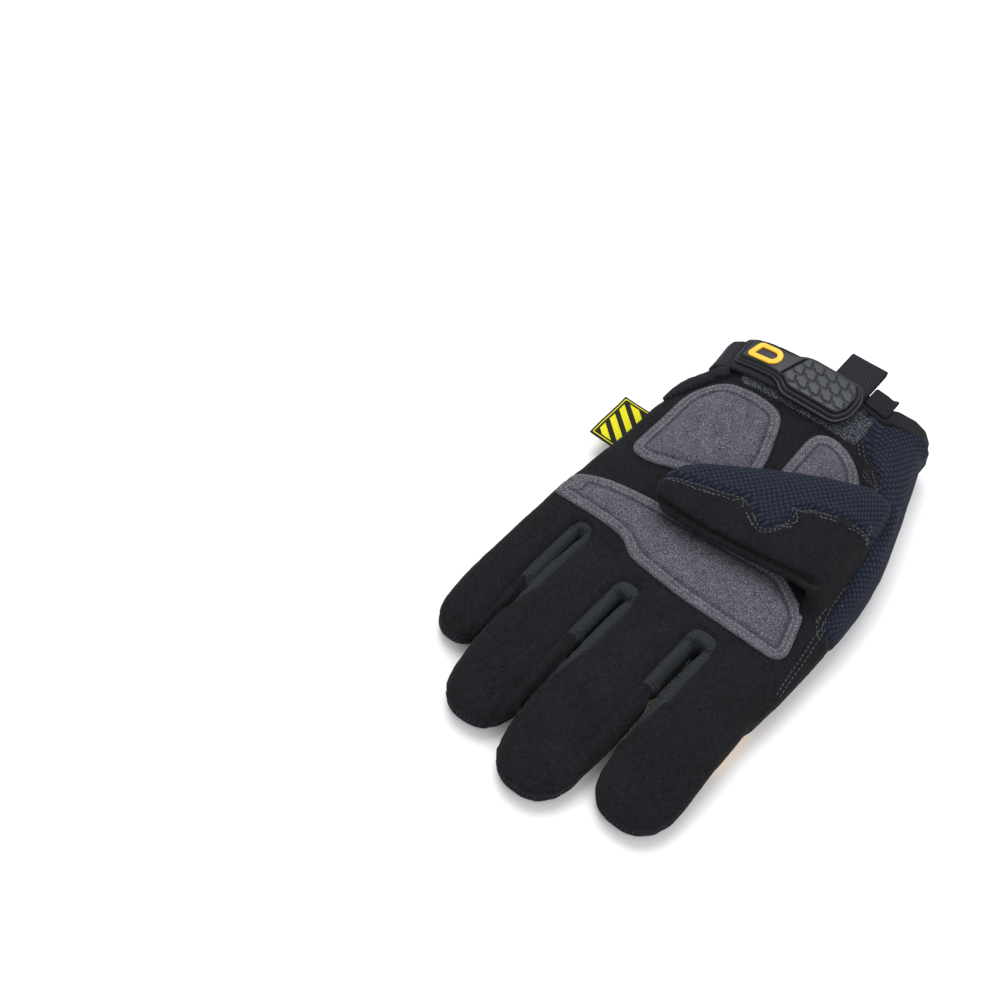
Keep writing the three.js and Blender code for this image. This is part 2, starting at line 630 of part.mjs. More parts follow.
// A plain yellow frame on the tab's narrow end
const BADGE = { left: -0.385, right: -0.265, near: 0.872, far: 0.938 };
const badgeFloor = tabTop + SEAT_GAP;
const badgePlan = shareRectangle(BADGE);
const badgeInner = rectangle(
  badgePlan[0][0] + BADGE_BAND,
  badgePlan[1][0] - BADGE_BAND,
  badgePlan[0][1] + BADGE_BAND,
  badgePlan[2][1] - BADGE_BAND,
);
const badgeRing = onPalm(badgePlan, BADGE_ROUNDING, badgeFloor, badgeFloor + BADGE_RISE).subtract(
  planPrism(outline(badgeInner, BADGE_ROUNDING - SEAM_GAP), -FAR, FAR),
);
add("badge_frame", badgeRing, "yellow_rubber");

// Bound edge of the cuff, and the roll of binding along the vent on the little finger's side
const bindingRing = handBody(BINDING_PROUD, reachPast)
  .subtract(handBody(-WALL - BINDING_PROUD, reachPast + OVERCUT))
  .intersect(cuffSlab(cuffStart, HAND_LENGTH));
add("cuff_binding", bindingRing, "binding");

const VENT_ROLL = [
  { x: -0.56, at: 0.7 },
  { x: -0.5, at: 0.715 },
  { x: -0.44, at: 0.79 },
  { x: -0.38, at: 0.8 },
  { x: -0.38, at: STRAP.near - SEAM_GAP / HAND_LENGTH },
  { x: -0.56, at: STRAP.near - SEAM_GAP / HAND_LENGTH },
];
const ventRoll = onPalm(inPlan(VENT_ROLL), CORNER_ROUNDING, SEAT_GAP, SEAT_GAP + ROLL_THICKNESS);
add("vent_roll", ventRoll, "binding");

// The pull loop, two plies of webbing folded at the end, and a flap of binding beside it
const PULL_LOOP = { left: -0.105, right: 0.033 };
const FLAP_RIGHT = 0.13;
const loopFloor = BINDING_PROUD + SEAT_GAP;
const loopTop = loopFloor + 2 * WEBBING_THICKNESS + WEBBING_SLOT;
const loopStart = STRAP.far * HAND_LENGTH + 2 * SEAT_GAP;
const loopEnd = HAND_LENGTH + LOOP_REACH;
const [loopLeft, loopRight] = [PULL_LOOP.left * PALM_WIDTH, PULL_LOOP.right * PALM_WIDTH];
const slot = onPalm(
  rectangle(
    loopLeft - OVERCUT,
    loopRight + OVERCUT,
    loopStart + WEBBING_THICKNESS,
    loopEnd - WEBBING_THICKNESS,
  ),
  0,
  loopFloor + WEBBING_THICKNESS,
  loopTop - WEBBING_THICKNESS,
);
const loopPlan = rectangle(loopLeft, loopRight, loopStart, loopEnd);
add("pull_loop", onPalm(loopPlan, 0, loopFloor, loopTop).subtract(slot), "webbing");
const flapEnd = HAND_LENGTH + FLAP_REACH;
const flapPlan = rectangle(loopRight + SEAM_GAP, FLAP_RIGHT * PALM_WIDTH, loopStart, flapEnd);
add("cuff_flap", onPalm(flapPlan, CORNER_ROUNDING, loopFloor, loopFloor + WEBBING_THICKNESS), "binding");

// The side label, sewn into the seam on the little finger's side
const LABEL_PLACE = { near: 0.43, seam: -0.55, root: -0.45 }; // shares, as in the tables above
const labelNear = LABEL_PLACE.near * HAND_LENGTH;
const labelLeft = LABEL_PLACE.seam * PALM_WIDTH - LABEL.reach;
const labelPlan = rectangle(labelLeft, LABEL_PLACE.root * PALM_WIDTH, labelNear, labelNear + LABEL.length);
const labelFloor = STANDOFF + SIDE_SEAM * HAND_HEIGHT - LABEL.thickness / 2;
const labelSlab = planPrism(outline(labelPlan), labelFloor, labelFloor + LABEL.thickness);
add("side_label", labelSlab.subtract(handBody(SEAT_GAP)), "label");

// Impact guards on the back, on which the glove lies
const KNUCKLE_GUARD = [
  { x: -0.5, at: 0.2 },
  { x: -0.3, at: 0.1 },
  { x: 0.3, at: 0.06 },
  { x: 0.36, at: 0.14 },
  { x: 0.3, at: 0.42 },
  { x: -0.1, at: 0.5 },
  { x: -0.44, at: 0.44 },
];
add("knuckle_guard", planPrism(outline(inPlan(KNUCKLE_GUARD), GUARD_ROUNDING), 0, GUARD_THICKNESS), "rubber");
const FINGER_GUARD = { wide: 0.84, near: 0.31, far: 0.6 }; // shares of the finger's width and whole run
for (const [name, { axis, width, length, root, splay }] of Object.entries(FINGERS)) {
  const alongFinger = (share) => root - share * (root + length);
  const middle = axis + ((FINGER_GUARD.near + FINGER_GUARD.far) / 2) * splay;
  const half = (FINGER_GUARD.wide * width) / 2;
  const [end, start] = [alongFinger(FINGER_GUARD.far), alongFinger(FINGER_GUARD.near)];
  const plan = outline(rectangle(middle - half, middle + half, end, start), FINGER_GUARD_ROUNDING);
  add(`finger_guard_${name}`, planPrism(plan, 0, GUARD_THICKNESS), "yellow_rubber");
}

const box = new THREE.Box3().setFromObject(glove);
const middle = box.getCenter(new THREE.Vector3());
glove.position.set(-middle.x, -middle.y, -box.min.z);
export default glove;
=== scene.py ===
import math
import random

import bmesh
import bpy
import numpy as np
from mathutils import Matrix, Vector, geometry, noise
from mathutils.bvhtree import BVHTree
from mathutils.kdtree import KDTree


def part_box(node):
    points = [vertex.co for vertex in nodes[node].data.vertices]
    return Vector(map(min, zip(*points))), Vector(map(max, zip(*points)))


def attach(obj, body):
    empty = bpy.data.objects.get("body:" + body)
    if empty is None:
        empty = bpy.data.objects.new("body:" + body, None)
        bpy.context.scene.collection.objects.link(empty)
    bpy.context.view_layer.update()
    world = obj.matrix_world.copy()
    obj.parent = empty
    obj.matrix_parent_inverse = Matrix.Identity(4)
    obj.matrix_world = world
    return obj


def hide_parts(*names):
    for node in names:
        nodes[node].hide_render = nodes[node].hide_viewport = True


MM = 0.001
UP = Vector((0, 0, 1))

# Camera, in the frame of the part
CAMERA_PLACE = (171.56, -315.65, 501.25)
CAMERA_TARGET = (-73.41, -15.78, 0)
CAMERA_LENS = 59.88
CAMERA_SENSOR = 36

# Skin of suede and knit
SKIN_VOXEL = 0.9
SKIN_GROW = 0.3  # closes the seams between the panels while they are made into one surface
SKIN_SETTLE = -0.22  # brings the grown surface back to its size
SKIN_ROUNDS = 26
SEAM_DEPTH = 0.85
SEAM_WIDTH = 1.0
SEAM_PUFF = 0.3
PUFF_AT = 2.6
PUFF_WIDTH = 1.5
SEAM_SHARES = {"wall_right": 0.12, "knit": 0.05, "wall_left": 0.55}
# Rolled knit and bulging side walls of the fingers, which set in over these lengths from the web and the tip
FINGER_ROLLS = {
    "knit": {"height": 0.9, "width": 5.0, "web": (1, 9), "tip": (0, 7)},
    "wall": {"height": 1.45, "width": 9.0, "web": (0, 8), "tip": (8, 26)},
}
THUMB_CREASE = {
    "share": 0.765,  # of the thumb's height
    "depth": 3.0,
    "width": 0.9,
    "roll": 1.5,
    "roll_width": 1.5,
    "roll_below": 1.6,  # roll widths under the crease
    "facing": 0.15,
    "turn": 0.25,
    "start": (2, 9),
}
THUMB_ROOT = {"place": (50.0, 2.0, 20.0), "radius": 12.0, "core": 0.45, "rounds": 45}  # runs into the palm
# Size, seed and height of each kind of wrinkle, and whether it fades towards the seams
WRINKLES = ((13, 3.1, 0.34, True), (5.2, 8.4, 0.16, True), (2.0, 1.7, 0.05, False))
WRINKLE_CLEAR = 3.0
CUFF_CUT = 3.0  # how far from its end the skin is cut, to be drawn out straight under the binding
CUFF_REACH = 5.2
CUFF_STEPS = 3
CUFF_FOLD = {"line": ((22.0, 5.6), (27.0, 7.2), (32.0, 5.0)), "ply": 1.3, "from": 75.0}  # line in x and z

# Pieces that are sewn on
PAD = {"edge": 0.75, "border": 1.4, "channel": 0.6, "crown": 2.1, "channel_at": 4.4, "channel_width": 0.45}
PAD_LUMPS = ((7.5, 0.16), (2.4, 0.07))  # size and height
PAD_SPACING = 0.62
ROW_DEPTH = 0.16
ROW_WIDTH = 0.4
THUMB_CLEARANCE = 0.3
FIELD_SPACING = 0.5
FIELD_BASE = 0.35
FIELD_PILE = 0.7125
FIELD_LENGTHS = (0.35, 1.0)  # as shares of the longest pile
FIELD_RIM = (0.2, 1.2)
LOOP_PLY = 0.85
LOOP_COLUMNS = 25
LOOP_SAG = 0.1
LOOP_EDGE = 0.75  # thickness of the webbing's edge, as a share of the ply
BINDING_ROW = 1.5
GUARD_HEIGHT = 3.0
FAR_OUT = 60.0  # well away from the glove, where rays start
GUARD = {"spacing": 0.9, "edge": 1.3, "edge_width": 1.6, "border": 0.5, "border_at": 3.0, "border_width": 0.6}
GROOVE = {"pitch": 8.0, "width": 0.9, "from": (3.6, 4.6)}
FLOOR_HALF = 6.0  # in metres

# Stitches
STITCH = {"length": 1.2, "pitch": 1.85, "radius": 0.16}
PAD_ROWS = (1.3, 3.1)
SEAM_ROWS = (1.5, 3.2)

random.seed(7)


def add_object(name, data):
    thing = bpy.data.objects.new(name, data)
    bpy.context.scene.collection.objects.link(thing)
    return thing


def aim_at(thing, place, target):
    thing.location = place
    thing.rotation_euler = (Vector(target) - Vector(place)).to_track_quat("-Z", "Y").to_euler()


def make_camera():
    data = bpy.data.cameras.new("camera")
    data.lens = CAMERA_LENS
    data.sensor_width = CAMERA_SENSOR
    data.clip_start = 0.01
    camera = add_object("camera", data)
    aim_at(camera, Vector(CAMERA_PLACE) * MM, Vector(CAMERA_TARGET) * MM)
    bpy.context.scene.camera = camera


make_camera()
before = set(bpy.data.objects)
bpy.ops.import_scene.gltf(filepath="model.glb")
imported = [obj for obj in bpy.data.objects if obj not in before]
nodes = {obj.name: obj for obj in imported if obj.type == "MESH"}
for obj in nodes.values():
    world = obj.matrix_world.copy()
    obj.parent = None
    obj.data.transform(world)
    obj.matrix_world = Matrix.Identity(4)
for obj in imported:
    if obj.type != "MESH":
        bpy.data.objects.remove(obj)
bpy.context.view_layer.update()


# Meshes as arrays


def vertices_of(mesh):
    flat = np.empty(len(mesh.vertices) * 3)
    mesh.vertices.foreach_get("co", flat)
    return flat.reshape(-1, 3) / MM


def triangles_of(mesh):
    mesh.calc_loop_triangles()
    flat = np.empty(len(mesh.loop_triangles) * 3, int)
    mesh.loop_triangles.foreach_get("vertices", flat)
    return flat.reshape(-1, 3)


def box_of(name):
    """The low and high corner of a CAD node."""
    return [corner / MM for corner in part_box(name)]


def node_arrays(name):
    mesh = nodes[name].data
    return vertices_of(mesh), triangles_of(mesh)


def tree_of(verts, faces):
    return BVHTree.FromPolygons(verts.tolist(), faces.tolist())


def edges_of(faces):
    sides = faces.shape[1]
    pairs = np.concatenate([faces[:, [i, (i + 1) % sides]] for i in range(sides)])
    return np.unique(np.sort(pairs, axis=1), axis=0)


def summed(index, values, count):
    return np.stack([np.bincount(index, values[:, k], count) for k in range(3)], axis=1)


def unit(rows):
    return rows / np.maximum(np.linalg.norm(rows, axis=1, keepdims=True), 1e-12)


def bell(away, width):
    """1 at the middle, falling off softly over a width."""
    return np.exp(-((away / width) ** 2))


def eased(path, rounds, closed=True):
    """A path smoothed a little, with the ends of an open one left in place."""
    for _ in range(rounds):
        near = (np.roll(path, 1, 0) + 2 * path + np.roll(path, -1, 0)) / 4
        path = near if closed else np.concatenate([path[:1], near[1:-1], path[-1:]])
    return path


def normals_of(verts, faces):
    if faces.shape[1] == 4:
        across = np.cross(verts[faces[:, 2]] - verts[faces[:, 0]], verts[faces[:, 3]] - verts[faces[:, 1]])
    else:
        across = np.cross(verts[faces[:, 1]] - verts[faces[:, 0]], verts[faces[:, 2]] - verts[faces[:, 0]])
    return unit(sum(summed(faces[:, k], across, len(verts)) for k in range(faces.shape[1])))


def smoothed(verts, edges, rounds, shares=(0.62, -0.64), normals=None, free=None):
    """Moves each point towards the middle of its neighbours and back, which smooths without shrinking.
    With normals, points slide only along the surface, and with free, only those points move."""
    a, b = edges[:, 0], edges[:, 1]
    count = len(verts)
    degree = np.maximum(np.bincount(edges.ravel(), minlength=count), 1)[:, None]
    for _ in range(rounds):
        for share in shares:
            middle = (summed(a, verts[b], count) + summed(b, verts[a], count)) / degree
            step = share * (middle - verts)
            if normals is not None:
                step -= (step * normals).sum(1, keepdims=True) * normals
            if free is not None:
                step *= free[:, None]
            verts = verts + step
    return verts


def rise(depth, start, end):
    """0 before start and 1 after end, with a smooth step between them."""
    share = np.clip((depth - start) / (end - start), 0, 1)
    return share * share * (3 - 2 * share)


def parts_of(count, edges):
    """A number for each point that is the same for all the points that edges join."""
    part = np.arange(count)
    while True:
        low = np.minimum(part[edges[:, 0]], part[edges[:, 1]])
        joined = part.copy()
        np.minimum.at(joined, edges[:, 0], low)
        np.minimum.at(joined, edges[:, 1], low)
        joined = joined[joined]
        if (joined == part).all():
            return part
        part = joined


def kept_faces(verts, faces, keep):
    """The faces that are kept, with only the points that they use."""
    used, local = np.unique(faces[keep], return_inverse=True)
    return verts[used], local.reshape(-1, faces.shape[1])


def remeshed(names, voxel, grow, add=None):
    """One even mesh of quads round copies of these CAD nodes and what add puts with them."""
    shape = bmesh.new()
    for name in names:
        shape.from_mesh(nodes[name].data)
    if add:
        add(shape)
    bmesh.ops.remove_doubles(shape, verts=shape.verts, dist=1e-6)
    shape.normal_update()
    for vert in shape.verts:
        vert.co += vert.normal * (grow * MM)
    draft_mesh = bpy.data.meshes.new("draft")
    shape.to_mesh(draft_mesh)
    shape.free()
    draft = add_object("draft", draft_mesh)
    modifier = draft.modifiers.new("voxels", "REMESH")
    modifier.mode = "VOXEL"
    modifier.voxel_size = voxel * MM
    graph = bpy.context.evaluated_depsgraph_get()
    result = bpy.data.meshes.new_from_object(draft.evaluated_get(graph))
    verts = vertices_of(result)
    quads = np.empty(len(result.loops), int)
    result.loops.foreach_get("vertex_index", quads)
    bpy.data.objects.remove(draft)
    bpy.data.meshes.remove(draft_mesh)
    bpy.data.meshes.remove(result)
    return verts, quads.reshape(-1, 4)


def make_piece(name, verts, faces, kind, replaced=(), uv=None):
    """A mesh object that rides on the part; its one slot holds the material of its kind."""
    mesh = bpy.data.meshes.new(name)
    mesh.from_pydata((np.asarray(verts) * MM).tolist(), [], [list(map(int, face)) for face in faces])
    mesh.validate()
    mesh.shade_smooth()
    if uv is not None:
        layer = mesh.uv_layers.new(name="weave")
        corners = np.empty(len(mesh.loops), int)
        mesh.loops.foreach_get("vertex_index", corners)
        layer.data.foreach_set("uv", np.asarray(uv, np.float32)[corners].ravel())
    mesh.materials.append(materials[kind])
    piece = add_object(name, mesh)
    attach(piece, "root")
    if replaced:
        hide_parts(*replaced)
    return piece


# Materials


class Nodes:
    """A short way to write a material's nodes."""

    def __init__(self, name, roughness, sheen=0.0, specular=0.3):
        self.material = bpy.data.materials.new(name)
        self.material.use_nodes = True
        self.tree = self.material.node_tree
        self.shader = self.tree.nodes["Principled BSDF"]
        self.shader.inputs["Roughness"].default_value = roughness
        self.shader.inputs["Specular IOR Level"].default_value = specular
        self.shader.inputs["Sheen Weight"].default_value = sheen
        self.shader.inputs["Sheen Roughness"].default_value = 0.5

    def add(self, kind, **values):
        node = self.tree.nodes.new("ShaderNode" + kind)
        for key, value in values.items():
            setattr(node, key, value)
        return node

    def link(self, source, target):
        self.tree.links.new(source, target)

    def place(self):
        """Places on the piece in millimetres."""
        coordinate = self.add("TexCoord")
        scale = self.add("VectorMath", operation="SCALE")
        scale.inputs["Scale"].default_value = 1 / MM
        self.link(coordinate.outputs["Object"], scale.inputs[0])
        return scale.outputs[0]

    def weave(self):
        """The two directions of the cloth, in millimetres."""
        return self.add("UVMap", uv_map="weave").outputs["UV"]

    def noise(self, place, size, detail=2.0, roughness=0.5):
        texture = self.add("TexNoise")
        texture.inputs["Scale"].default_value = 1 / size
        texture.inputs["Detail"].default_value = detail
        texture.inputs["Roughness"].default_value = roughness
        self.link(place, texture.inputs["Vector"])
        return texture.outputs["Fac"]

    def math(self, operation, first, second=None):
        node = self.add("Math", operation=operation)
        for socket, value in zip(node.inputs, (first, second)):
            if value is None:
                continue
            if isinstance(value, (int, float)):
                socket.default_value = value
            else:
                self.link(value, socket)
        return node.outputs[0]

    def split(self, source):
        node = self.add("SeparateXYZ")
        self.link(source, node.inputs[0])
        return node.outputs

    def total(self, *terms):
        """The sum of values, each given with its weight."""
        result = None
        for value, weight in terms:
            part = value if weight == 1 else self.math("MULTIPLY", value, weight)
            result = part if result is None else self.math("ADD", result, part)
        return result

    def wave(self, source, pitch, kind="SINE"):
        return self.math(kind, self.math("MULTIPLY", source, 2 * math.pi / pitch))

    def ramp(self, factor, *stops):
        node = self.add("ValToRGB")
        elements = node.color_ramp.elements
        while len(elements) < len(stops):
            elements.new(0.5)
        for element, (position, colour) in zip(elements, stops):
            element.position = position
            element.color = (*linear(colour), 1)
        self.link(factor, node.inputs[0])
        return node.outputs["Color"]

    def mix(self, factor, first, second, blend="MIX"):
        node = self.add("Mix", data_type="RGBA", blend_type=blend)
        for socket, value in ((node.inputs[0], factor), (node.inputs[6], first), (node.inputs[7], second)):
            if isinstance(value, (int, float)):
                socket.default_value = value
            elif isinstance(value, tuple):
                socket.default_value = (*linear(value), 1)
            else:
                self.link(value, socket)
        return node.outputs[2]

    def finish(self, colour, height, depth):
        """depth is the height of the bump, in millimetres."""
        self.link(colour, self.shader.inputs["Base Color"])
        bump = self.add("Bump")
        bump.inputs["Distance"].default_value = depth * MM
        self.link(height, bump.inputs["Height"])
        self.link(bump.outputs[0], self.shader.inputs["Normal"])
        return self.material


def linear(colour):
    """The linear values of a colour given by its shown red, green and blue from 0 to 255."""
    shares = [value / 255 for value in colour]
    return tuple(v / 12.92 if v <= 0.04045 else ((v + 0.055) / 1.055) ** 2.4 for v in shares)


def suede_material(name, dark, light):
    n = Nodes(name, roughness=1.0, sheen=0.03, specular=0.05)
    place = n.place()
    grain = n.noise(place, 0.45, 3.0, 0.7)
    mottle = n.noise(place, 2.4, 4.0, 0.6)
    cloud = n.noise(place, 17.0, 2.0)
    colour = n.ramp(n.total((grain, 0.72), (mottle, 0.18), (cloud, 0.1)), (0.38, dark), (0.62, light))
    return n.finish(colour, n.total((grain, 1), (mottle, 0.7)), 0.2)


def pad_material():
    """Speckled suede, with painted shade darkening the quilted channel."""
    n = Nodes("grey_suede", roughness=1.0, sheen=0.04, specular=0.06)
    place = n.place()
    fibres = n.noise(place, 0.5, 3.0, 0.75)
    specks = n.noise(place, 0.45, 1.0, 0.5)
    mottle = n.noise(place, 5.0, 3.0, 0.6)
    tone = n.total((fibres, 0.86), (mottle, 0.14))
    colour = n.ramp(tone, (0.36, (42, 41, 47)), (0.5, (74, 72, 80)), (0.64, (112, 110, 120)))
    light = n.math("GREATER_THAN", specks, 0.64)
    colour = n.mix(n.math("MULTIPLY", light, 0.45), colour, (150, 149, 157))
    depth = n.math("MULTIPLY", n.split(n.weave())[0], 1 / (2 * PAD["channel_at"]))
    # Painted shade: the colour is multiplied darker along the channel's recess, where shade falls.
    shade = n.ramp(depth, (0.0, (255, 255, 255)), (0.42, (250, 250, 250)), (0.48, (176, 176, 180)),
                   (0.53, (214, 214, 218)), (0.64, (248, 248, 250)))
    return n.finish(n.mix(1.0, colour, shade, "MULTIPLY"), fibres, 0.22)


def mesh_knit_material(name, pitch, dark, light, depth):
    """Rows of small raised cells, each row half a cell on from the last."""
    n = Nodes(name, roughness=0.9, sheen=0.03, specular=0.1)
    along, across, _ = n.split(n.weave())
    row = pitch / 0.82
    cells = n.math("MULTIPLY", n.wave(along, pitch, "COSINE"), n.wave(across, row, "COSINE"))
    ribs = n.wave(across, row / 2, "COSINE")
    fuzz = n.noise(n.place(), 0.35, 3.0, 0.7)
    height = n.total((cells, 0.36), (ribs, 0.12), (fuzz, 0.35), (0.32, 1))
    return n.finish(n.ramp(height, (0.12, dark), (0.8, light)), height, depth)


def fine_knit_material(name, dark, light):
    n = Nodes(name, roughness=0.92, sheen=0.03, specular=0.1)
    place = n.place()
    x, y, z = n.split(place)
    loops = n.math("MULTIPLY", n.wave(n.math("ADD", x, z), 1.0), n.wave(y, 0.8))
    height = n.total((loops, 0.34), (n.noise(place, 0.5, 4.0, 0.75), 1))
    return n.finish(n.ramp(height, (0.22, dark), (0.8, light)), height, 0.14)


def twill_material(name, dark, light, pitch=0.95):
    n = Nodes(name, roughness=0.8, sheen=0.03, specular=0.12)
    along, across, _ = n.split(n.weave())
    ribs = n.wave(n.math("ADD", along, across), pitch)
    threads = n.wave(n.math("SUBTRACT", along, across), 2 * pitch)
    fuzz = n.noise(n.place(), 0.4, 3.0, 0.7)
    height = n.total((ribs, 0.25), (threads, 0.12), (fuzz, 0.6), (0.2, 1))
    return n.finish(n.ramp(height, (0.15, dark), (0.85, light)), height, 0.16)


def pile_material():
    n = Nodes("loop_pile", roughness=0.95, sheen=0.05, specular=0.1)
    fibres = n.noise(n.place(), 0.6, 4.0, 0.8)
    colour = n.ramp(fibres, (0.38, (13, 14, 17)), (0.5, (34, 36, 42)), (0.62, (112, 116, 128)))
    return n.finish(colour, fibres, 0.35)


def rubber_material(name, dark, light, roughness):
    n = Nodes(name, roughness=roughness, specular=0.3)
    place = n.place()
    grain = n.noise(place, 0.3, 2.0, 0.6)
    cloud = n.noise(place, 9.0, 3.0, 0.55)
    colour = n.ramp(n.total((grain, 0.4), (cloud, 0.6)), (0.35, dark), (0.68, light))
    return n.finish(colour, grain, 0.035)


def grip_material(name, dark, light):
    """Black rubber whose raised grip is painted paler, a painted sheen."""
    n = Nodes(name, roughness=0.45, specular=0.32)
    grain = n.noise(n.place(), 0.35, 2.0, 0.6)
    black = n.ramp(grain, (0.3, dark), (0.7, light))
    # Painted sheen: the grip's colour is lightened to stand in for the light its raised face catches.
    painted_sheen = n.ramp(grain, (0.3, (27, 30, 37)), (0.7, (40, 44, 53)))
    return n.finish(n.mix(n.split(n.weave())[0], black, painted_sheen), grain, 0.05)


def thread_material(name, dark, light):
    n = Nodes(name, roughness=0.8, sheen=0.03, specular=0.1)
    twist = n.noise(n.place(), 0.3, 2.0)
    return n.finish(n.ramp(twist, (0.3, dark), (0.7, light)), twist, 0.05)


def label_material():
    """Plain slanted bars inside a black border with a thin yellow line."""
    n = Nodes("woven_label", roughness=0.85, sheen=0.03, specular=0.12)
    depth, along, _ = n.split(n.weave())
    place = n.place()
    fuzz = n.noise(place, 0.35, 2.0, 0.6)
    slant = n.total((n.split(place)[0], 0.8), (along, 1))
    bars = n.math("GREATER_THAN", n.wave(slant, 6.2), -0.15)
    line = n.math("MULTIPLY", n.math("GREATER_THAN", depth, 0.7), n.math("LESS_THAN", depth, 1.1))
    panel = n.math("MULTIPLY", n.math("GREATER_THAN", depth, 1.9), bars)
    height = n.total((n.wave(along, 0.45), 0.3), (fuzz, 1))
    black = n.ramp(height, (0.2, (22, 22, 18)), (0.8, (46, 45, 38)))
    bright = n.ramp(height, (0.2, (186, 182, 20)), (0.8, (226, 220, 44)))
    return n.finish(n.mix(n.math("MAXIMUM", line, panel), black, bright), height, 0.12)


materials = {
    "suede": suede_material("dark_suede", (13, 13, 15), (35, 35, 39)),
    "grey_pad": pad_material(),
    "navy_knit": mesh_knit_material("air_mesh_knit", 2.4, (6, 8, 13), (38, 45, 61), 0.6),
    "back_knit": mesh_knit_material("back_mesh_knit", 1.6, (13, 14, 17), (38, 40, 45), 0.3),
    "fourchette": fine_knit_material("fine_knit", (14, 16, 19), (53, 57, 62)),
    "binding": fine_knit_material("binding_cloth", (15, 15, 18), (43, 43, 48)),
    "webbing": twill_material("twill_webbing", (11, 12, 15), (42, 44, 52)),
    "loop_field": pile_material(),
    "rubber": rubber_material("black_rubber", (17, 19, 23), (34, 37, 44), 0.42),
    "grip_rubber": grip_material("grip_rubber", (14, 16, 20), (30, 33, 39)),
    "yellow_rubber": rubber_material("yellow_rubber", (232, 170, 42), (252, 194, 66), 0.45),
    "pale_thread": thread_material("pale_thread", (100, 99, 106), (146, 144, 152)),
    "grey_thread": thread_material("grey_thread", (60, 62, 66), (96, 98, 102)),
    "dark_thread": thread_material("dark_thread", (22, 22, 24), (52, 52, 56)),
    "label": label_material(),
}


# Skin of the hand and thumb: one smooth surface, split along the seams of the CAD panels

FINGER_GAPS = ("index_middle", "middle_ring", "ring_little")
PANELS = {
    "palm_panel": ("suede", ("palm_panel", "finger_panel")),
    "back_panel": ("back_knit", ("back_panel", "finger_back")),
    "side_gusset": ("navy_knit", ("side_gusset",)),
    "thumb_suede": ("suede", ("thumb_suede",)),
    "thumb_knit": ("navy_knit", ("thumb_knit",)),
}
for gap in FINGER_GAPS:
    PANELS[f"fourchette_{gap}"] = ("fourchette", (f"fourchette_{gap}",))
    for side in ("left", "right"):
        PANELS[f"side_wall_{gap}_{side}"] = ("suede", (f"side_wall_{gap}_{side}",))
PANEL_NAMES = list(PANELS)
SKIN_NODES = [node for _, group in PANELS.values() for node in group]
PANEL_OF_NODE = [number for number, (_, group) in enumerate(PANELS.values()) for _ in group]


def joined_arrays(names):
    """The points and triangles of several CAD nodes, and the number of each triangle's node."""
    verts, faces, owner = [], [], []
    start = 0
    for number, name in enumerate(names):
        node_verts, node_faces = node_arrays(name)
        verts.append(node_verts)
        faces.append(node_faces + start)
        owner += [number] * len(node_faces)
        start += len(node_verts)
    return np.concatenate(verts), np.concatenate(faces), owner


def add_cuff_fold(shape):
    """Cloth that closes the fold in the back panel, under the cuff."""
    half = CUFF_FOLD["ply"] / 2
    ends = (CUFF_FOLD["from"], box_of("back_panel")[1].y)
    line = CUFF_FOLD["line"]
    for pair in zip(line, line[1:]):
        corners = [(x, y, z + side) for x, z in pair for y in ends for side in (-half, half)]
        bmesh.ops.convex_hull(shape, input=[shape.verts.new(Vector(corner) * MM) for corner in corners])


def cloth_surface():
    """Both sides of the panels' cloth, cut off short of the cuff's end."""
    verts, faces = remeshed(SKIN_NODES, SKIN_VOXEL, SKIN_GROW, add_cuff_fold)
    verts = smoothed(verts, edges_of(faces), SKIN_ROUNDS)
    cut = verts[:, 1].max() - CUFF_CUT
    middle_y = verts[faces][:, :, 1].mean(1)
    verts, faces = kept_faces(verts, faces, middle_y < cut)
    part = parts_of(len(verts), edges_of(faces))
    widest = part[verts[:, 0].argmax()]
    verts, faces = kept_faces(verts, faces, part[faces[:, 0]] == widest)
    return verts, faces, cut


def rim_edges(faces):
    """The edges that only one face has, in that face's direction."""
    sides = faces.shape[1]
    ways = np.concatenate([faces[:, [i, (i + 1) % sides]] for i in range(sides)])
    keys = np.sort(ways, axis=1)
    _, first, count = np.unique(keys, axis=0, return_index=True, return_counts=True)
    return ways[first[count == 1]]


def label_faces(verts, faces):
    """The panel that each face is nearest to."""
    node_verts, node_faces, owner = joined_arrays(SKIN_NODES)
    tree = tree_of(node_verts, node_faces)
    middles = verts[faces].mean(1)
    return np.array([PANEL_OF_NODE[owner[tree.find_nearest(Vector(point))[2]]] for point in middles])


def point_labels(faces, labels):
    """The sorted labels of the faces round each point, for the points that have more than one."""
    pairs = np.unique(np.stack([faces.ravel(), np.repeat(labels, faces.shape[1])], axis=1), axis=0)
    points, first, repeats = np.unique(pairs[:, 0], return_index=True, return_counts=True)
    return {int(points[i]): tuple(pairs[first[i]:first[i] + repeats[i], 1])
            for i in np.flatnonzero(repeats > 1)}


def snap_to_seams(verts, normals, borders, trees):
    """Slides the points between panels onto the middle of the seam that the CAD panels leave."""
    moved = verts.copy()
    for point, sides in borders.items():
        here = Vector(verts[point])
        normal = Vector(normals[point])
        for _ in range(5):
            near = [trees[side].find_nearest(here)[0] for side in sides]
            step = sum(near, Vector()) / len(near) - here
            here += step - normal * step.dot(normal)
        moved[point] = here
    return moved


def wrinkle(point, size, seed):
    return noise.noise(Vector((point[0] / size + seed, point[1] / size, point[2] / size)))


skin_verts, skin_faces, cuff_cut = cloth_surface()
skin_labels = label_faces(skin_verts, skin_faces)
panel_trees = [tree_of(*joined_arrays(group)[:2]) for _, group in PANELS.values()]
borders = point_labels(skin_faces, skin_labels)
skin_edges = edges_of(skin_faces)
skin_normals = normals_of(skin_verts, skin_faces)
skin_verts = snap_to_seams(skin_verts, skin_normals, borders, panel_trees)
free = np.ones(len(skin_verts))
free[list(borders)] = 0
rim_points = np.unique(rim_edges(skin_faces))
skin_verts[rim_points, 1] = cuff_cut
free[rim_points] = 0
skin_verts = smoothed(skin_verts, skin_edges, 4, (0.5,), skin_normals, free)


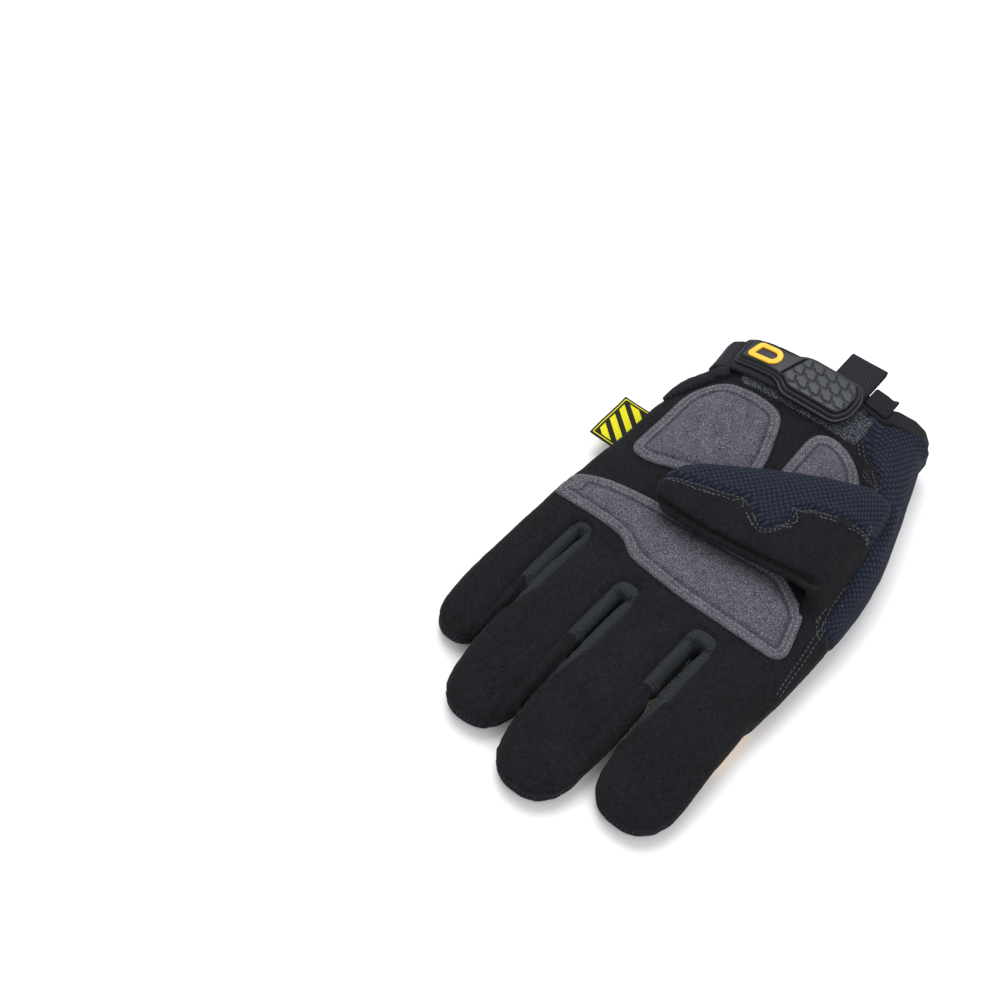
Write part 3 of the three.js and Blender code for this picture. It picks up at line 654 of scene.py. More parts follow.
def point_panels():
    """The number of a panel that each point of the skin belongs to."""
    panel = np.zeros(len(skin_verts), int)
    panel[skin_faces.ravel()] = np.repeat(skin_labels, 4)
    return panel


def root_share(verts):
    """1 where the root of the thumb runs out softly into the palm, and 0 well away from there."""
    away = np.linalg.norm(verts - np.array(THUMB_ROOT["place"]), axis=1)
    return 1 - rise(away, THUMB_ROOT["core"] * THUMB_ROOT["radius"], THUMB_ROOT["radius"])


SOFT_PANELS = [PANEL_NAMES.index(name) for name in ("palm_panel", "thumb_suede")]
skin_panels = point_panels()
root_shares = root_share(skin_verts) * np.isin(skin_panels, SOFT_PANELS)
skin_verts = smoothed(skin_verts, skin_edges, THUMB_ROOT["rounds"], (0.5,), free=root_shares)


def seam_tree(chosen):
    tree = KDTree(len(chosen))
    for number, point in enumerate(chosen):
        tree.insert(Vector(skin_verts[point]), number)
    tree.balance()
    return tree


def seam_share(point):
    """How deep a seam is tucked, as a share of the deepest."""
    names = [PANEL_NAMES[side] for side in borders[point]]
    if any(name.endswith("_right") for name in names):
        return SEAM_SHARES["wall_right"]
    if any(name.startswith("fourchette") for name in names) and "palm_panel" not in names:
        return SEAM_SHARES["knit"]
    if any(name.startswith("side_wall") for name in names):
        return SEAM_SHARES["wall_left"]
    return 1 - root_shares[point] if "side_gusset" not in names else 1.0


PANEL_ENDS = {name: [corner.y for corner in box_of(name)]
              for name in PANEL_NAMES if name.startswith(("fourchette", "side_wall"))}


def seam_relief(away):
    """A tuck at the seam and a puff beside it."""
    return SEAM_PUFF * bell(away - PUFF_AT, PUFF_WIDTH) - SEAM_DEPTH * bell(away, SEAM_WIDTH)


def roll_relief(name, point, away):
    """The roll of the knit between two fingers and the bulge of their side walls."""
    if name not in PANEL_ENDS:
        return 0.0
    kind = "knit" if name.startswith("fourchette") else "wall"
    roll = FINGER_ROLLS[kind]
    low, high = PANEL_ENDS[name]
    fade = rise(high - point[1], *roll["web"]) * rise(point[1] - low, *roll["tip"])
    return fade * roll["height"] * math.sin(math.pi * min(away / roll["width"], 1))


def crease_relief(point, normal, low, high):
    """The crease along the near side of the thumb, with a roll of suede below it."""
    shape = THUMB_CREASE
    reach = min(1, max(0, -normal[1] - shape["facing"]) / shape["turn"])
    reach *= rise(point[0] - low.x, *shape["start"])
    offset = point[2] - low.z - shape["share"] * (high.z - low.z)
    crease = shape["depth"] * bell(offset, shape["width"])
    roll = shape["roll"] * bell(offset / shape["roll_width"] + shape["roll_below"], 1)
    return reach * (roll - crease)


def wrinkle_relief(point, away):
    soft = 1 - bell(away, WRINKLE_CLEAR)
    return sum(height * (soft if fades else 1) * wrinkle(point, size, seed)
               for size, seed, height, fades in WRINKLES)


def shape_skin():
    """The skin with its seams, rolls, crease and soft wrinkles."""
    normals = normals_of(skin_verts, skin_faces)
    seam_points = sorted(borders)
    seams = seam_tree(seam_points)
    shares = [seam_share(point) for point in seam_points]
    thumb_box = box_of("thumb_suede")
    shift = np.full(len(skin_verts), SKIN_SETTLE)
    for i, point in enumerate(skin_verts):
        _, nearest, away = seams.find(Vector(point))
        name = PANEL_NAMES[skin_panels[i]]
        shift[i] += shares[nearest] * seam_relief(away) + roll_relief(name, point, away)
        if name == "thumb_suede":
            shift[i] += (1 - root_shares[i]) * crease_relief(point, normals[i], *thumb_box)
        shift[i] += wrinkle_relief(point, away)
    return skin_verts + normals * shift[:, None]


skin_verts = shape_skin()


def draw_out_cuff(verts, faces, labels):
    """Straight cloth from the cut to the cuff's end, under the binding."""
    rim = rim_edges(faces)
    for step in range(CUFF_STEPS):
        points = np.unique(rim)
        fresh = {int(p): len(verts) + k for k, p in enumerate(points)}
        moved = verts[points] + np.array([0, CUFF_REACH / CUFF_STEPS, 0])
        verts = np.concatenate([verts, moved])
        strip = np.array([[b, a, fresh[int(a)], fresh[int(b)]] for a, b in rim])
        if step == 0:
            side_label = {}
            for face, label in zip(faces, labels):
                for point in face:
                    side_label[int(point)] = label
        new_labels = np.array([side_label[int(a)] for a, _ in rim])
        for a, label in zip(rim[:, 0], new_labels):
            side_label[fresh[int(a)]] = label
        faces = np.concatenate([faces, strip])
        labels = np.concatenate([labels, new_labels])
        rim = np.array([[fresh[int(a)], fresh[int(b)]] for a, b in rim])
    return verts, faces, labels


skin_verts, skin_faces, skin_labels = draw_out_cuff(skin_verts, skin_faces, skin_labels)


def weave_of(name, verts):
    """Places on the cloth in millimetres: along and across the knit."""
    x, y, z = verts.T
    top = z.max()
    if name == "side_gusset":
        middle_x = np.polyval(np.polyfit(y, x, 4), y)
        middle_z = np.polyval(np.polyfit(y, z, 4), y)
        turn = np.arctan2(z - middle_z, x - middle_x)
        return np.stack([y, turn * 9.5], axis=1)
    if name == "thumb_knit":
        return np.stack([x + (top - z), y + (top - z)], axis=1)
    return np.stack([x, y], axis=1)


def make_panels():
    for number, (name, (kind, group)) in enumerate(PANELS.items()):
        verts, faces = kept_faces(skin_verts, skin_faces, skin_labels == number)
        uv = weave_of(name, verts) if kind in ("navy_knit", "back_knit") else None
        make_piece(f"{name}_cloth", verts, faces, kind, group, uv)


make_panels()

THUMB_LABELS = [PANEL_NAMES.index(name) for name in ("thumb_suede", "thumb_knit")]
on_thumb = np.isin(skin_labels, THUMB_LABELS)
hand_tree = tree_of(*kept_faces(skin_verts, skin_faces, ~on_thumb))
thumb_tree = tree_of(*kept_faces(skin_verts, skin_faces, on_thumb))
skin_tree = tree_of(skin_verts, skin_faces)


# Pieces cut to an outline in plan and laid on what carries them


def chains(pairs, ends_first=False):
    """Points walked from neighbour to neighbour along these pairs, each of them once."""
    lines = {}
    for a, b in pairs:
        lines.setdefault(a, []).append(b)
        lines.setdefault(b, []).append(a)
    found = []
    seen = set()
    for start in sorted(lines, key=lambda point: len(lines[point])) if ends_first else lines:
        chain = []
        onwards = [start] if start not in seen else []
        while onwards:
            chain.append(onwards[0])
            seen.add(onwards[0])
            onwards = [point for point in lines[chain[-1]] if point not in seen]
        if chain:
            found.append(chain)
    return found


def plan_outline(name, spacing=1.0, rounds=5, below=False):
    """The outline of a CAD node in plan, at its top or below, in even steps, going left round."""
    shape = bmesh.new()
    shape.from_mesh(nodes[name].data)
    bmesh.ops.remove_doubles(shape, verts=shape.verts, dist=1e-6)
    shape.normal_update()
    way = -1 if below else 1
    pairs = [tuple(edge.verts) for edge in shape.edges
             if sum(way * face.normal.z > 0.4 for face in edge.link_faces) == 1]
    loops = [np.array([vert.co[:2] for vert in loop]) / MM for loop in chains(pairs)]
    shape.free()
    widest = max(loops, key=lambda loop: np.linalg.norm(np.ptp(loop, axis=0)))
    path = eased(even_steps(widest, spacing), rounds)
    x, y = path.T
    if (x * np.roll(y, -1) - y * np.roll(x, -1)).sum() < 0:
        path = path[::-1]
    return path


def even_steps(path, spacing, closed=True):
    ends = np.concatenate([path, path[:1]]) if closed else path
    steps = np.linalg.norm(np.diff(ends, axis=0), axis=1)
    walked = np.concatenate([[0], np.cumsum(steps)])
    count = max(int(round(walked[-1] / spacing)), 3)
    marks = np.linspace(0, walked[-1], count, endpoint=False) if closed else np.linspace(0, walked[-1], count)
    return np.stack([np.interp(marks, walked, ends[:, k]) for k in range(path.shape[1])], axis=1)


def depth_inside(points, path):
    """How far each point lies inside the outline; less than 0 outside."""
    start = path
    way = np.roll(path, -1, 0) - path
    length = (way ** 2).sum(1)
    best = np.full(len(points), 1e9)
    inside = np.zeros(len(points), bool)
    for a, d, square in zip(start, way, length):
        offset = points - a
        share = np.clip((offset @ d) / max(square, 1e-12), 0, 1)
        best = np.minimum(best, ((offset - share[:, None] * d) ** 2).sum(1))
        crosses = (offset[:, 1] >= 0) != (offset[:, 1] >= d[1])
        if d[1] != 0:
            left_of = offset[:, 0] < offset[:, 1] * d[0] / d[1]
            inside ^= crosses & left_of
    return np.where(inside, np.sqrt(best), -np.sqrt(best))


def filled(path, spacing, insets=()):
    """Points and triangles that fill an outline evenly, with rings of points at these distances inside it,
    and how deep inside each point lies."""
    low, high = path.min(0), path.max(0)
    row = spacing * math.sqrt(3) / 2
    grid = []
    for j, y in enumerate(np.arange(low[1], high[1], row)):
        start = low[0] + (spacing / 2 if j % 2 else 0)
        grid += [(x, y) for x in np.arange(start, high[0], spacing)]
    grid = np.array(grid)
    rings = [offset_path(path, inset, spacing) for inset in insets]
    clear = (insets[-1] if len(insets) else 0) + 0.5 * spacing
    grid = grid[depth_inside(grid, path) > clear]
    points = np.concatenate([path, *rings, grid])
    count = len(path)
    rim = [(i, (i + 1) % count) for i in range(count)]
    found = geometry.delaunay_2d_cdt([Vector(p) for p in points.tolist()], rim, [], 1, 1e-7)
    plan = np.array([tuple(v) for v in found[0]])
    faces = np.array([face for face in found[2] if len(face) == 3])
    a, b, c = plan[faces[:, 0]], plan[faces[:, 1]], plan[faces[:, 2]]
    turned = np.cross(b - a, c - a) < 0
    faces[turned] = faces[turned][:, ::-1]
    return plan, faces, np.maximum(depth_inside(plan, path), 0)


def closed_between(plan, faces, low, high):
    """A closed solid between two heights over the same points."""
    count = len(plan)
    verts = np.concatenate([np.column_stack([plan, high]), np.column_stack([plan, low])])
    rim = rim_edges(faces)
    walls = np.column_stack([rim[:, 1], rim[:, 0], rim[:, 0] + count, rim[:, 1] + count])
    lists = faces.tolist() + (faces[:, ::-1] + count).tolist() + walls.tolist()
    return verts, lists


def ground_heights(plan, tree=hand_tree, ceiling=FAR_OUT):
    heights = []
    for x, y in plan:
        hit = tree.ray_cast(Vector((x, y, ceiling)), -UP)[0]
        if hit is None:
            hit = tree.find_nearest(Vector((x, y, ceiling / 3)))[0]
        heights.append(hit.z)
    return np.array(heights)


def underside_fit(name, plan):
    """A smooth sheet through the underside of a CAD node."""
    tree = tree_of(*node_arrays(name))
    found = [(x, y, tree.ray_cast(Vector((x, y, -5)), UP)[0]) for x, y in plan[::3]]
    places = np.array([(x, y, hit.z) for x, y, hit in found if hit is not None])

    def terms(x, y):
        return np.stack([np.ones_like(x), x, y, x * x, x * y, y * y, x ** 3, x * x * y], axis=1)

    weights = np.linalg.lstsq(terms(places[:, 0], places[:, 1]), places[:, 2], rcond=None)[0]
    return terms(plan[:, 0], plan[:, 1]) @ weights


def offset_path(path, inset, spacing):
    """The outline moved inwards, in even steps."""
    way = np.roll(path, -1, 0) - np.roll(path, 1, 0)
    way = unit(way)
    inwards = path + inset * np.stack([-way[:, 1], way[:, 0]], axis=1)
    kept = inwards[depth_inside(inwards, path) > inset - 0.12]
    return even_steps(kept, spacing)


class Stitches:
    """Short threads, gathered into one mesh."""

    SIDES = 5
    RINGS = ((-0.5, 0.45), (-0.3, 1.0), (0.3, 1.0), (0.5, 0.45))

    def __init__(self):
        self.verts = []
        self.faces = []

    def add(self, place, way, normal, length=STITCH["length"], radius=STITCH["radius"]):
        way = way.normalized()
        side = normal.cross(way).normalized()
        start = len(self.verts)
        for along, wide in self.RINGS:
            drop = -0.4 * radius if wide < 1 else 0.55 * radius
            for k in range(self.SIDES):
                turn = 2 * math.pi * k / self.SIDES
                reach = side * math.cos(turn) + normal * math.sin(turn)
                self.verts.append(place + way * along * length + normal * drop + reach * radius * wide)
        for ring in range(len(self.RINGS) - 1):
            for k in range(self.SIDES):
                a = start + ring * self.SIDES + k
                b = start + ring * self.SIDES + (k + 1) % self.SIDES
                self.faces.append([b, a, a + self.SIDES, b + self.SIDES])
        last = start + (len(self.RINGS) - 1) * self.SIDES
        self.faces.append([start + k for k in range(self.SIDES)])
        self.faces.append([last + k for k in reversed(range(self.SIDES))])

    def row(self, path, tree, pitch=STITCH["pitch"], closed=True, reach=1.5, **sizes):
        """Stitches along a path of points, each set onto the tree's surface."""
        marks = even_steps(path, pitch, closed)
        count = len(marks)
        for i in range(count if closed else count - 1):
            a, b = Vector(marks[i]), Vector(marks[(i + 1) % count])
            place, normal, _, away = tree.find_nearest((a + b) / 2)
            if place is None or away > reach:
                continue
            way = (b - a) - normal * (b - a).dot(normal)
            if way.length > 0.2 * pitch:
                self.add(place, way, normal, **sizes)

    def finish(self, name, material, slot):
        make_piece(name, [tuple(v) for v in self.verts], self.faces, material)


def pad_height(depth, plan, seed):
    edge = PAD["edge"] + (PAD["border"] - PAD["edge"]) * np.sqrt(np.clip(depth / 1.1, 0, 1))
    crown = (PAD["crown"] - PAD["border"]) * rise(depth, PAD["channel_at"] + 0.2, PAD["channel_at"] + 3.6)
    channel = PAD["channel"] * bell(depth - PAD["channel_at"], PAD["channel_width"])
    rows = sum(ROW_DEPTH * bell(depth - at, ROW_WIDTH) for at in PAD_ROWS)
    lumps = np.array([sum(height * wrinkle((x, y, seed), size, seed) for size, height in PAD_LUMPS)
                      for x, y in plan])
    return edge + crown - channel - rows + lumps * rise(depth, 0, 2)


def room_under_thumb(plan, ground):
    """How thick a pad may be at each place, clear of the thumb that lies over it."""
    room = []
    for (x, y), floor in zip(plan, ground):
        hit = thumb_tree.ray_cast(Vector((x, y, floor + 0.1)), UP)[0]
        room.append(FAR_OUT if hit is None else max(hit.z - floor - THUMB_CLEARANCE, 0.15))
    return np.array(room)


def make_pads():
    rows = Stitches()
    for seed, name in enumerate(("knuckle_pad", "heel_pad", "thenar_pad")):
        path = plan_outline(name, rounds=4, below=True)
        plan, faces, depth = filled(path, PAD_SPACING)
        ground = ground_heights(plan)
        height = np.minimum(pad_height(depth, plan, seed + 2.5), room_under_thumb(plan, ground))
        verts, lists = closed_between(plan, faces, ground + 0.05, ground + height)
        # The weave carries the depth inside the outline, which places the painted shade along the channel.
        inwards = np.tile(depth, 2)
        uv = np.column_stack([inwards, inwards])
        piece = make_piece(f"{name}_quilted", verts, lists, "grey_pad", (name,), uv)
        tree = tree_of(verts[:len(plan)], faces)
        for inset in PAD_ROWS:
            line = offset_path(path, inset, 1.0)
            line = np.column_stack([line, ground_heights(line, tree)])
            rows.row(line, tree)
    rows.finish("pad_stitches", "pale_thread", "grey_pad")


make_pads()


# Wrist closure


def make_loop_field():
    path = plan_outline("loop_field", rounds=2)
    plan, faces, depth = filled(path, FIELD_SPACING)
    ground = ground_heights(plan)
    pile = np.array([random.uniform(*FIELD_LENGTHS) for _ in plan]) * FIELD_PILE
    height = FIELD_BASE + pile * rise(depth, *FIELD_RIM)
    verts, lists = closed_between(plan, faces, ground + 0.05, ground + height)
    make_piece("loop_field_pile", verts, lists, "loop_field", ("loop_field",))


def remeshed_piece(node, name, kind, voxel, rounds, uv=None):
    """A soft, rounded copy of a CAD node."""
    verts, faces = remeshed([node], voxel, 0.0)
    verts = smoothed(verts, edges_of(faces), rounds, (0.6, -0.45))
    make_piece(name, verts, faces, kind, (node,), uv(verts) if uv else None)
    return verts, faces


def strap_weave(verts):
    x, y, z = verts.T
    return np.stack([x - (z.max() - z), y], axis=1)


VENT_ROLL_PATH = (
    (-46.7, 52.2, 1.1),
    (-45.5, 56.2, 1.9),
    (-43.5, 61.2, 2.4),
    (-40.7, 66.2, 2.7),
    (-37.9, 70.7, 2.8),
    (-35.2, 74.6, 2.7),
    (-33.6, 76.6, 2.1),
)  # x, y and radius of the roll of binding that runs up under the strap


ROLL_FOLD = {"reach": 2.2, "depth": 0.09, "size": 2.6, "seed": 5.5}


def bar_faces(rings, sides, closed=False):
    """Quads between rings of points along a bar, with its two ends unless it is closed."""
    faces = []
    for i in range(rings if closed else rings - 1):
        here, there = i * sides, (i + 1) % rings * sides
        for k in range(sides):
            after = (k + 1) % sides
            faces.append([here + k, here + after, there + after, there + k])
    if not closed:
        faces.append(list(reversed(range(sides))))
        faces.append([(rings - 1) * sides + k for k in range(sides)])
    return faces


def swept_tube(path, radii, sides=16):
    """A round bar along an open path."""
    verts = []
    last = len(path) - 1
    for i in range(last + 1):
        way = Vector(path[min(i + 1, last)] - path[max(i - 1, 0)]).normalized()
        side = way.cross(UP).normalized()
        rise_way = side.cross(way)
        for k in range(sides):
            turn = 2 * math.pi * k / sides
            around = ROLL_FOLD["reach"] * np.array([math.cos(turn), math.sin(turn), 0])
            fold = 1 + ROLL_FOLD["depth"] * wrinkle(path[i] + around, ROLL_FOLD["size"], ROLL_FOLD["seed"])
            reach = (side * math.cos(turn) + rise_way * math.sin(turn)) * (radii[i] * fold)
            verts.append(tuple(Vector(path[i]) + reach))
    return np.array(verts), bar_faces(len(path), sides)


def make_vent_roll():
    line = eased(even_steps(np.array(VENT_ROLL_PATH), 0.6, closed=False), 20, closed=False)
    path = []
    for x, y, radius in line:
        place, normal, _, _ = hand_tree.ray_cast(Vector((x, y, FAR_OUT)), -UP)
        path.append(place + normal * (0.45 * radius))
    path = np.array(path)
    verts, faces = swept_tube(path, line[:, 2])
    make_piece("vent_roll_binding", verts, faces, "binding", ("vent_roll",))
    rows = Stitches()
    triangles = [half for a, b, c, d in faces[:-2] for half in ((a, b, c), (a, c, d))]
    tree = tree_of(verts, np.array(triangles))
    beside_roll = path + np.array([1.2, -0.6, 3.0])
    rows.row(beside_roll[4:-4], tree, closed=False, reach=4.0)
    rows.finish("roll_stitches", "dark_thread", "binding")


def make_closure():
    make_loop_field()
    remeshed_piece("closure_strap", "closure_strap_webbing", "webbing", 0.5, 6, strap_weave)
    make_vent_roll()


SCALE = {"along": 5.4, "across": 4.6, "corner": 1.5, "groove": 0.26, "depth": 0.9}


def scale_grooves(u, v):
    """Rows of hooked grooves, each row half a scale on from the last."""
    row = np.floor(v / SCALE["across"])
    shifted = u + np.where(row % 2 == 0, 0, SCALE["along"] / 2)
    du = shifted - (np.floor(shifted / SCALE["along"]) + 0.5) * SCALE["along"]
    dv = v - (row + 0.72) * SCALE["across"]
    half = np.array([SCALE["along"] / 2 - 0.5, SCALE["across"] * 0.62])
    corner = SCALE["corner"]
    qx = np.abs(du) - (half[0] - corner)
    qy = np.abs(dv) - (half[1] - corner)
    away = np.hypot(np.maximum(qx, 0), np.maximum(qy, 0)) + np.minimum(np.maximum(qx, qy), 0) - corner
    lower = rise(0.45 * du - dv, -0.2, 0.5)
    return lower * bell(away, SCALE["groove"])


TAB_DIVIDER = {"share": 0.42, "slant": 0.35, "width": 0.34, "depth": 1.6}
TAB_SPACING = 0.34
TAB_RINGS = np.arange(0.17, 3.4, 0.22)
TAB_NARROWING = 0.35  # how much closer together the rims lie round the narrow end
# Heights of the flange, the groove, the rim and the middle, by the distance from the edge
TAB_PROFILE = (
    (0, 0.17, 0.8, 1.05, 1.4, 1.65, 2.25, 2.5, 2.85, 3.1),
    (0.45, 1.1, 1.25, 0.55, 0.55, 2.15, 2.3, 1.1, 1.1, 3.0),
)


def make_tab():
    path = plan_outline("pull_tab", spacing=0.5, rounds=6)
    plan, faces, depth = filled(path, TAB_SPACING, TAB_RINGS)
    floor = underside_fit("pull_tab", plan)
    low, high = path.min(0), path.max(0)
    u = plan[:, 0] - low[0]
    v = plan[:, 1] - low[1]
    divide = u - TAB_DIVIDER["share"] * (high[0] - low[0])
    divide = divide - TAB_DIVIDER["slant"] * (v - (high[1] - low[1]) / 2)
    narrow = 1 - rise(divide, -1.5, 2.5)
    height = np.interp(depth * (1 + TAB_NARROWING * narrow), *TAB_PROFILE)
    inside = rise(depth, 2.6, 3.1)
    divider = TAB_DIVIDER["depth"] * bell(divide, TAB_DIVIDER["width"]) * inside
    grip = rise(divide, 0.5, 1.0) * inside
    scales = SCALE["depth"] * scale_grooves(u + 0.4 * v, v) * grip * rise(depth, 3.1, 3.5)
    height = height + 0.3 * grip - divider - scales
    verts, lists = closed_between(plan, faces, floor, floor + height)
    # The weave carries the grip mask, which paints the grip paler as a painted sheen.
    shade = np.tile(grip * rise(depth, 3.0, 3.2), 2)
    uv = np.column_stack([shade, shade])
    make_piece("pull_tab_moulding", verts, lists, "grip_rubber", ("pull_tab",), uv)
    return tree_of(verts[:len(plan)], faces)


def swept_ring(path, wide, high, sides=12):
    """A rounded bar along a closed path."""
    count = len(path)
    verts = []
    for i in range(count):
        way = Vector(path[(i + 1) % count] - path[i - 1]).normalized()
        side = way.cross(UP).normalized()
        for k in range(sides):
            turn = 2 * math.pi * (k + 0.5) / sides
            c, s = math.cos(turn), math.sin(turn)
            sideways = side * (math.copysign(abs(c) ** 0.6, c) * wide)
            upwards = UP * (math.copysign(abs(s) ** 0.6, s) * high)
            verts.append(tuple(Vector(path[i]) + sideways + upwards))
    return np.array(verts), bar_faces(count, sides, closed=True)


BADGE = {"slant": 1.6, "band": 1.15, "height": 0.55}


def badge_path():
    """Square and slanted at one end and round at the other."""
    low, high = box_of("badge_frame")
    low += Vector((BADGE["band"], BADGE["band"], 0))
    high -= Vector((BADGE["band"], BADGE["band"], 0))
    radius = (high.y - low.y) / 2
    middle = (low.y + high.y) / 2
    arc = [(high.x - radius + radius * math.cos(t), middle + radius * math.sin(t))
           for t in np.linspace(-math.pi / 2, math.pi / 2, 14)]
    corners = [(low.x + BADGE["slant"], high.y), (low.x, low.y)]
    return eased(even_steps(np.array(arc + corners), 0.45), 3)


def make_badge(tab_tree):
    path = badge_path()
    heights = ground_heights(path, tab_tree)
    verts, faces = swept_ring(np.column_stack([path, heights + 0.3]), BADGE["band"], BADGE["height"])
    make_piece("badge_frame_moulding", verts, faces, "yellow_rubber", ("badge_frame",))


# Cuff


def folded_band(name, low, high, ply):
    """Two plies of webbing that fold over at the far end, drawn as one strip."""
    radius = (high.z - low.z - ply) / 2
    end = high.y - radius - ply / 2
    line = [(y, low.z + ply / 2) for y in np.linspace(low.y, end, 16)]
    line += [(end + radius * math.sin(t), (low.z + high.z) / 2 - radius * math.cos(t))
             for t in np.linspace(0, math.pi, 12)[1:-1]]
    line += [(y, high.z - ply / 2) for y in np.linspace(end, low.y, 16)]
    line = np.array(line)
    walked = np.concatenate([[0], np.cumsum(np.linalg.norm(np.diff(line, axis=0), axis=1))])
    way = unit(np.gradient(line, axis=0))
    across = np.linspace(low.x, high.x, LOOP_COLUMNS)
    share = np.linspace(0, 1, LOOP_COLUMNS)
    verts, uv = [], []
    for (y, z), (way_y, way_z), far in zip(line, way, walked):
        sag = LOOP_SAG * np.sin(math.pi * share) * (y - low.y) / (high.y - low.y)
        for side, order in ((1, range(LOOP_COLUMNS)), (-1, reversed(range(LOOP_COLUMNS)))):
            for k in order:
                edge = LOOP_EDGE if k in (0, LOOP_COLUMNS - 1) else 1.0
                lift = side * edge * ply / 2
                verts.append((across[k], y + way_z * lift, z - way_y * lift - sag[k]))
                uv.append((far, across[k]))
    faces = bar_faces(len(line), 2 * LOOP_COLUMNS)
    make_piece(name, verts, faces, "webbing", ("pull_loop",), uv)


def make_cuff():
    verts, faces = remeshed_piece("cuff_binding", "cuff_binding_cloth", "binding", 0.6, 10)
    tree = tree_of(verts, faces)
    rows = Stitches()
    low, high = box_of("cuff_binding")
    centre = (low + high) / 2
    centre.y = low.y + BINDING_ROW
    ring = []
    for turn in np.linspace(0, 2 * math.pi, 120, endpoint=False):
        outside = centre + Vector((math.cos(turn), 0, math.sin(turn))) * FAR_OUT
        hit = tree.ray_cast(outside, (centre - outside).normalized())[0]
        if hit is not None:
            ring.append(tuple(hit))
    rows.row(np.array(ring), tree)
    rows.finish("binding_stitches", "dark_thread", "binding")
    folded_band("pull_loop_webbing", *box_of("pull_loop"), LOOP_PLY)
    remeshed_piece("cuff_flap", "cuff_flap_cloth", "binding", 0.3, 4)


make_closure()
make_badge(make_tab())
make_cuff()


# Label


# Thickness, how far its free end curls up, and the ripple along it
LABEL = {"thickness": 0.7, "curl": 0.9, "ripple": 0.25, "ripple_size": 4.0, "steps": (30, 44)}


def make_label():
    low, high = box_of("side_label")
    across = np.linspace(low.x, high.x, LABEL["steps"][0])
    along = np.linspace(low.y, high.y, LABEL["steps"][1])
    plan = np.array([(x, y) for x in across for y in along])
    count = len(along)
    faces = np.array([[i * count + j, (i + 1) * count + j, (i + 1) * count + j + 1, i * count + j + 1]
                      for i in range(len(across) - 1) for j in range(count - 1)])
    share = (high.x - plan[:, 0]) / (high.x - low.x)
    curl = LABEL["curl"] * share ** 2
    ripple = LABEL["ripple"] * np.sin(plan[:, 1] / LABEL["ripple_size"]) * share
    middle = (low.z + high.z) / 2 + curl + ripple
    half = LABEL["thickness"] / 2
    verts, lists = closed_between(plan, faces, middle - half, middle + half)
    edge = np.minimum.reduce([plan[:, 0] - low.x, plan[:, 1] - low.y, high.y - plan[:, 1]])
    uv = np.column_stack([np.tile(edge, 2), np.tile(plan[:, 1], 2)])
    make_piece("side_label_woven", verts, lists, "label", ("side_label",), uv)


make_label()


# Guards on the back, which the glove rests on


def make_guard(node, kind, ribs):
    path = plan_outline(node, rounds=3)
    plan, faces, depth = filled(path, GUARD["spacing"])
    edge = GUARD_HEIGHT - GUARD["edge"] * (1 - np.sqrt(np.clip(depth / GUARD["edge_width"], 0, 1)))
    border = GUARD["border"] * bell(depth - GUARD["border_at"], GUARD["border_width"])
    away = plan[:, 1] - plan[:, 1].mean()
    beside_groove = away % GROOVE["pitch"] - GROOVE["pitch"] / 2
    grooves = ribs * bell(beside_groove, GROOVE["width"]) * rise(depth, *GROOVE["from"])
    bottom = GUARD_HEIGHT - edge + border + grooves
    verts, lists = closed_between(plan, faces, bottom, np.full(len(plan), GUARD_HEIGHT))
    make_piece(f"{node}_moulding", verts, lists, kind, (node,))


make_guard("knuckle_guard", "rubber", 1.0)
for finger in ("index", "middle", "ring", "little"):
    make_guard(f"finger_guard_{finger}", "yellow_rubber", 0.8)


# Stitch rows beside the seams of the thumb and the knit side

# Line of the rows that run on from the knit's end to the side of the index finger
SIDE_ROW = ((56.6, 12.0, 18), (58.8, 0.0, 18), (60.0, -8.0, 18), (62.4, -20.0, 17), (63.6, -30.0, 15))
SIDE_ROWS = (0.2, 2.0)


def border_paths(first, second, shortest=8.0):
    """Each line of points, in order, along which two panels meet."""
    one, two = PANEL_NAMES.index(first), PANEL_NAMES.index(second)
    near = {}
    for face, label in zip(skin_faces, skin_labels):
        if label in (one, two):
            for k in range(4):
                key = tuple(sorted((int(face[k]), int(face[(k + 1) % 4]))))
                near.setdefault(key, set()).add(label)
    pairs = [pair for pair, found in near.items() if len(found) == 2]
    paths = []
    for path in chains(pairs, ends_first=True):
        points = skin_verts[path]
        if len(path) < 3 or np.linalg.norm(np.diff(points, axis=0), axis=1).sum() < shortest:
            continue
        paths.append(even_steps(eased(points, 6, closed=False), 1.0, closed=False))
    return paths


def nearest_on(tree, points):
    """The nearest places on a surface, and its normals there."""
    found = [tree.find_nearest(Vector(point)) for point in points]
    return np.array([tuple(hit[0]) for hit in found]), np.array([tuple(hit[1]) for hit in found])


def beside(path, tree, offset, towards):
    """A path moved over the surface to the side that lies towards a point."""
    normals = nearest_on(tree, path)[1]
    ways = np.gradient(path, axis=0)
    for _ in range(4):
        normals[1:-1] = normals[:-2] + normals[1:-1] + normals[2:]
        normals = unit(normals)
        ways[1:-1] = (ways[:-2] + ways[1:-1] + ways[2:]) / 3
    sides = unit(np.cross(normals, ways))
    facing = (sides * (np.array(towards) - path)).sum()
    return nearest_on(tree, path + sides * math.copysign(offset, facing))[0]


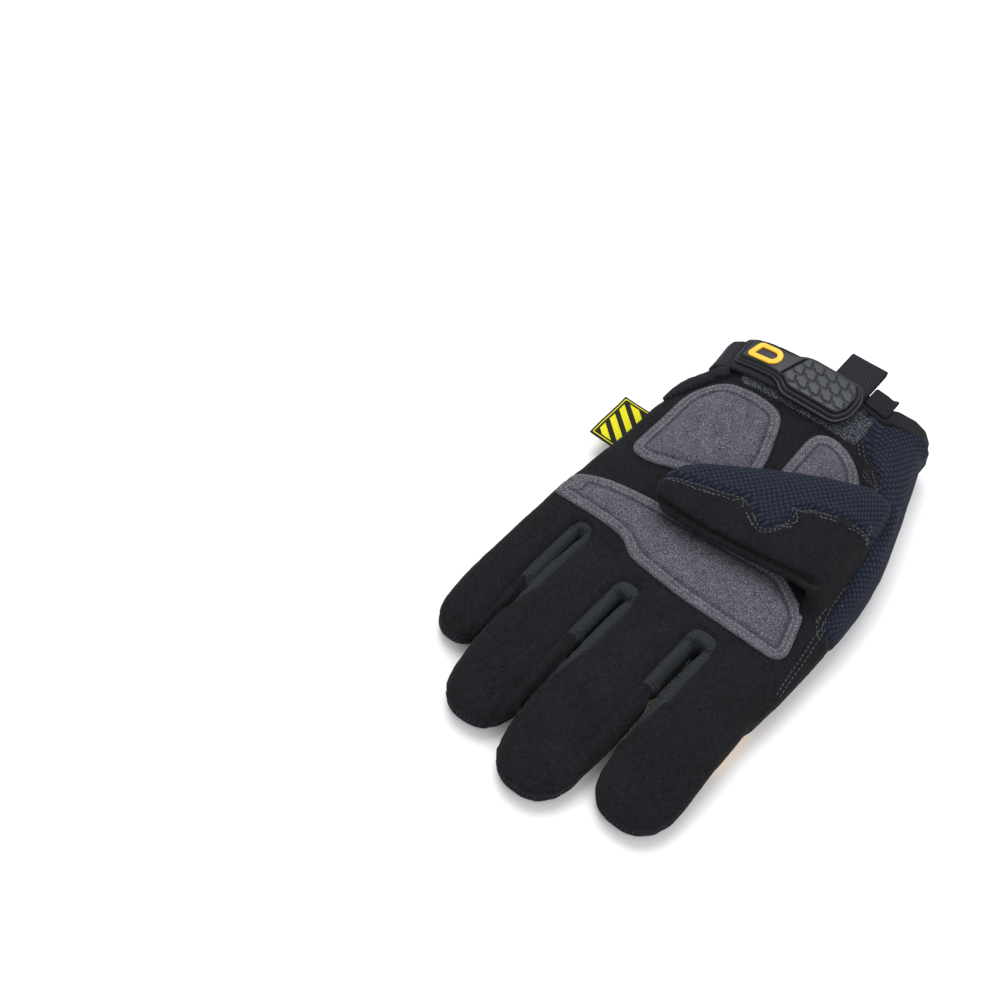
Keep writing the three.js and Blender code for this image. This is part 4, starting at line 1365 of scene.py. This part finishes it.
def make_seam_rows():
    rows = Stitches()
    low, high = box_of("thumb_suede")
    suede_side = Vector(((low.x + high.x) / 2, low.y - 20, high.z))
    for seam in border_paths("thumb_suede", "thumb_knit"):
        seam = seam[seam[:, 2] > (low.z + high.z) / 2]
        if len(seam) < 3:
            continue
        for offset in SEAM_ROWS:
            rows.row(beside(seam, skin_tree, offset, suede_side), skin_tree, closed=False, radius=0.2)
    rows.finish("thumb_stitches", "grey_thread", "suede")
    rows = Stitches()
    middle = Vector((0, 0, 20))
    for panel in ("palm_panel", "thumb_suede"):
        for seam in border_paths(panel, "side_gusset"):
            for offset in SEAM_ROWS:
                rows.row(beside(seam, skin_tree, offset, middle), skin_tree, closed=False)
    edge = nearest_on(hand_tree, even_steps(np.array(SIDE_ROW), 1.0, closed=False))[0]
    for offset in SIDE_ROWS:
        rows.row(beside(edge, hand_tree, offset, middle), hand_tree, closed=False)
    rows.finish("side_stitches", "grey_thread", "suede")


make_seam_rows()


# Floor and light


def make_stage():
    mesh = bpy.data.meshes.new("floor")
    corners = [(x * FLOOR_HALF, y * FLOOR_HALF, 0) for x, y in ((-1, -1), (1, -1), (1, 1), (-1, 1))]
    mesh.from_pydata(corners, [], [(0, 1, 2, 3)])
    n = Nodes("white_floor", roughness=0.9, specular=0.1)
    tone = n.noise(n.place(), 400.0, 2.0)
    n.link(n.ramp(tone, (0.3, (240, 240, 242)), (0.7, (243, 243, 245))), n.shader.inputs["Base Color"])
    mesh.materials.append(n.material)
    add_object("floor", mesh)


def add_light(name, place, size, power):
    """A round light that is aimed at the part."""
    data = bpy.data.lights.new(name, "AREA")
    data.shape = "DISK"
    data.size = size
    data.energy = power
    aim_at(add_object(name, data), place, (0, 0, 0))


def light_scene():
    world = bpy.data.worlds.new("studio")
    world.use_nodes = True
    background = world.node_tree.nodes["Background"]
    background.inputs["Color"].default_value = (1, 1, 1, 1)
    background.inputs["Strength"].default_value = 0.7
    bpy.context.scene.world = world
    add_light("key", (-0.35, 0.5, 1.3), size=1.1, power=17)
    add_light("fill", (0.9, -0.6, 1.1), size=1.2, power=8)
    settings = bpy.context.scene.view_settings
    settings.view_transform = "Standard"
    settings.look = "None"


make_stage()
light_scene()
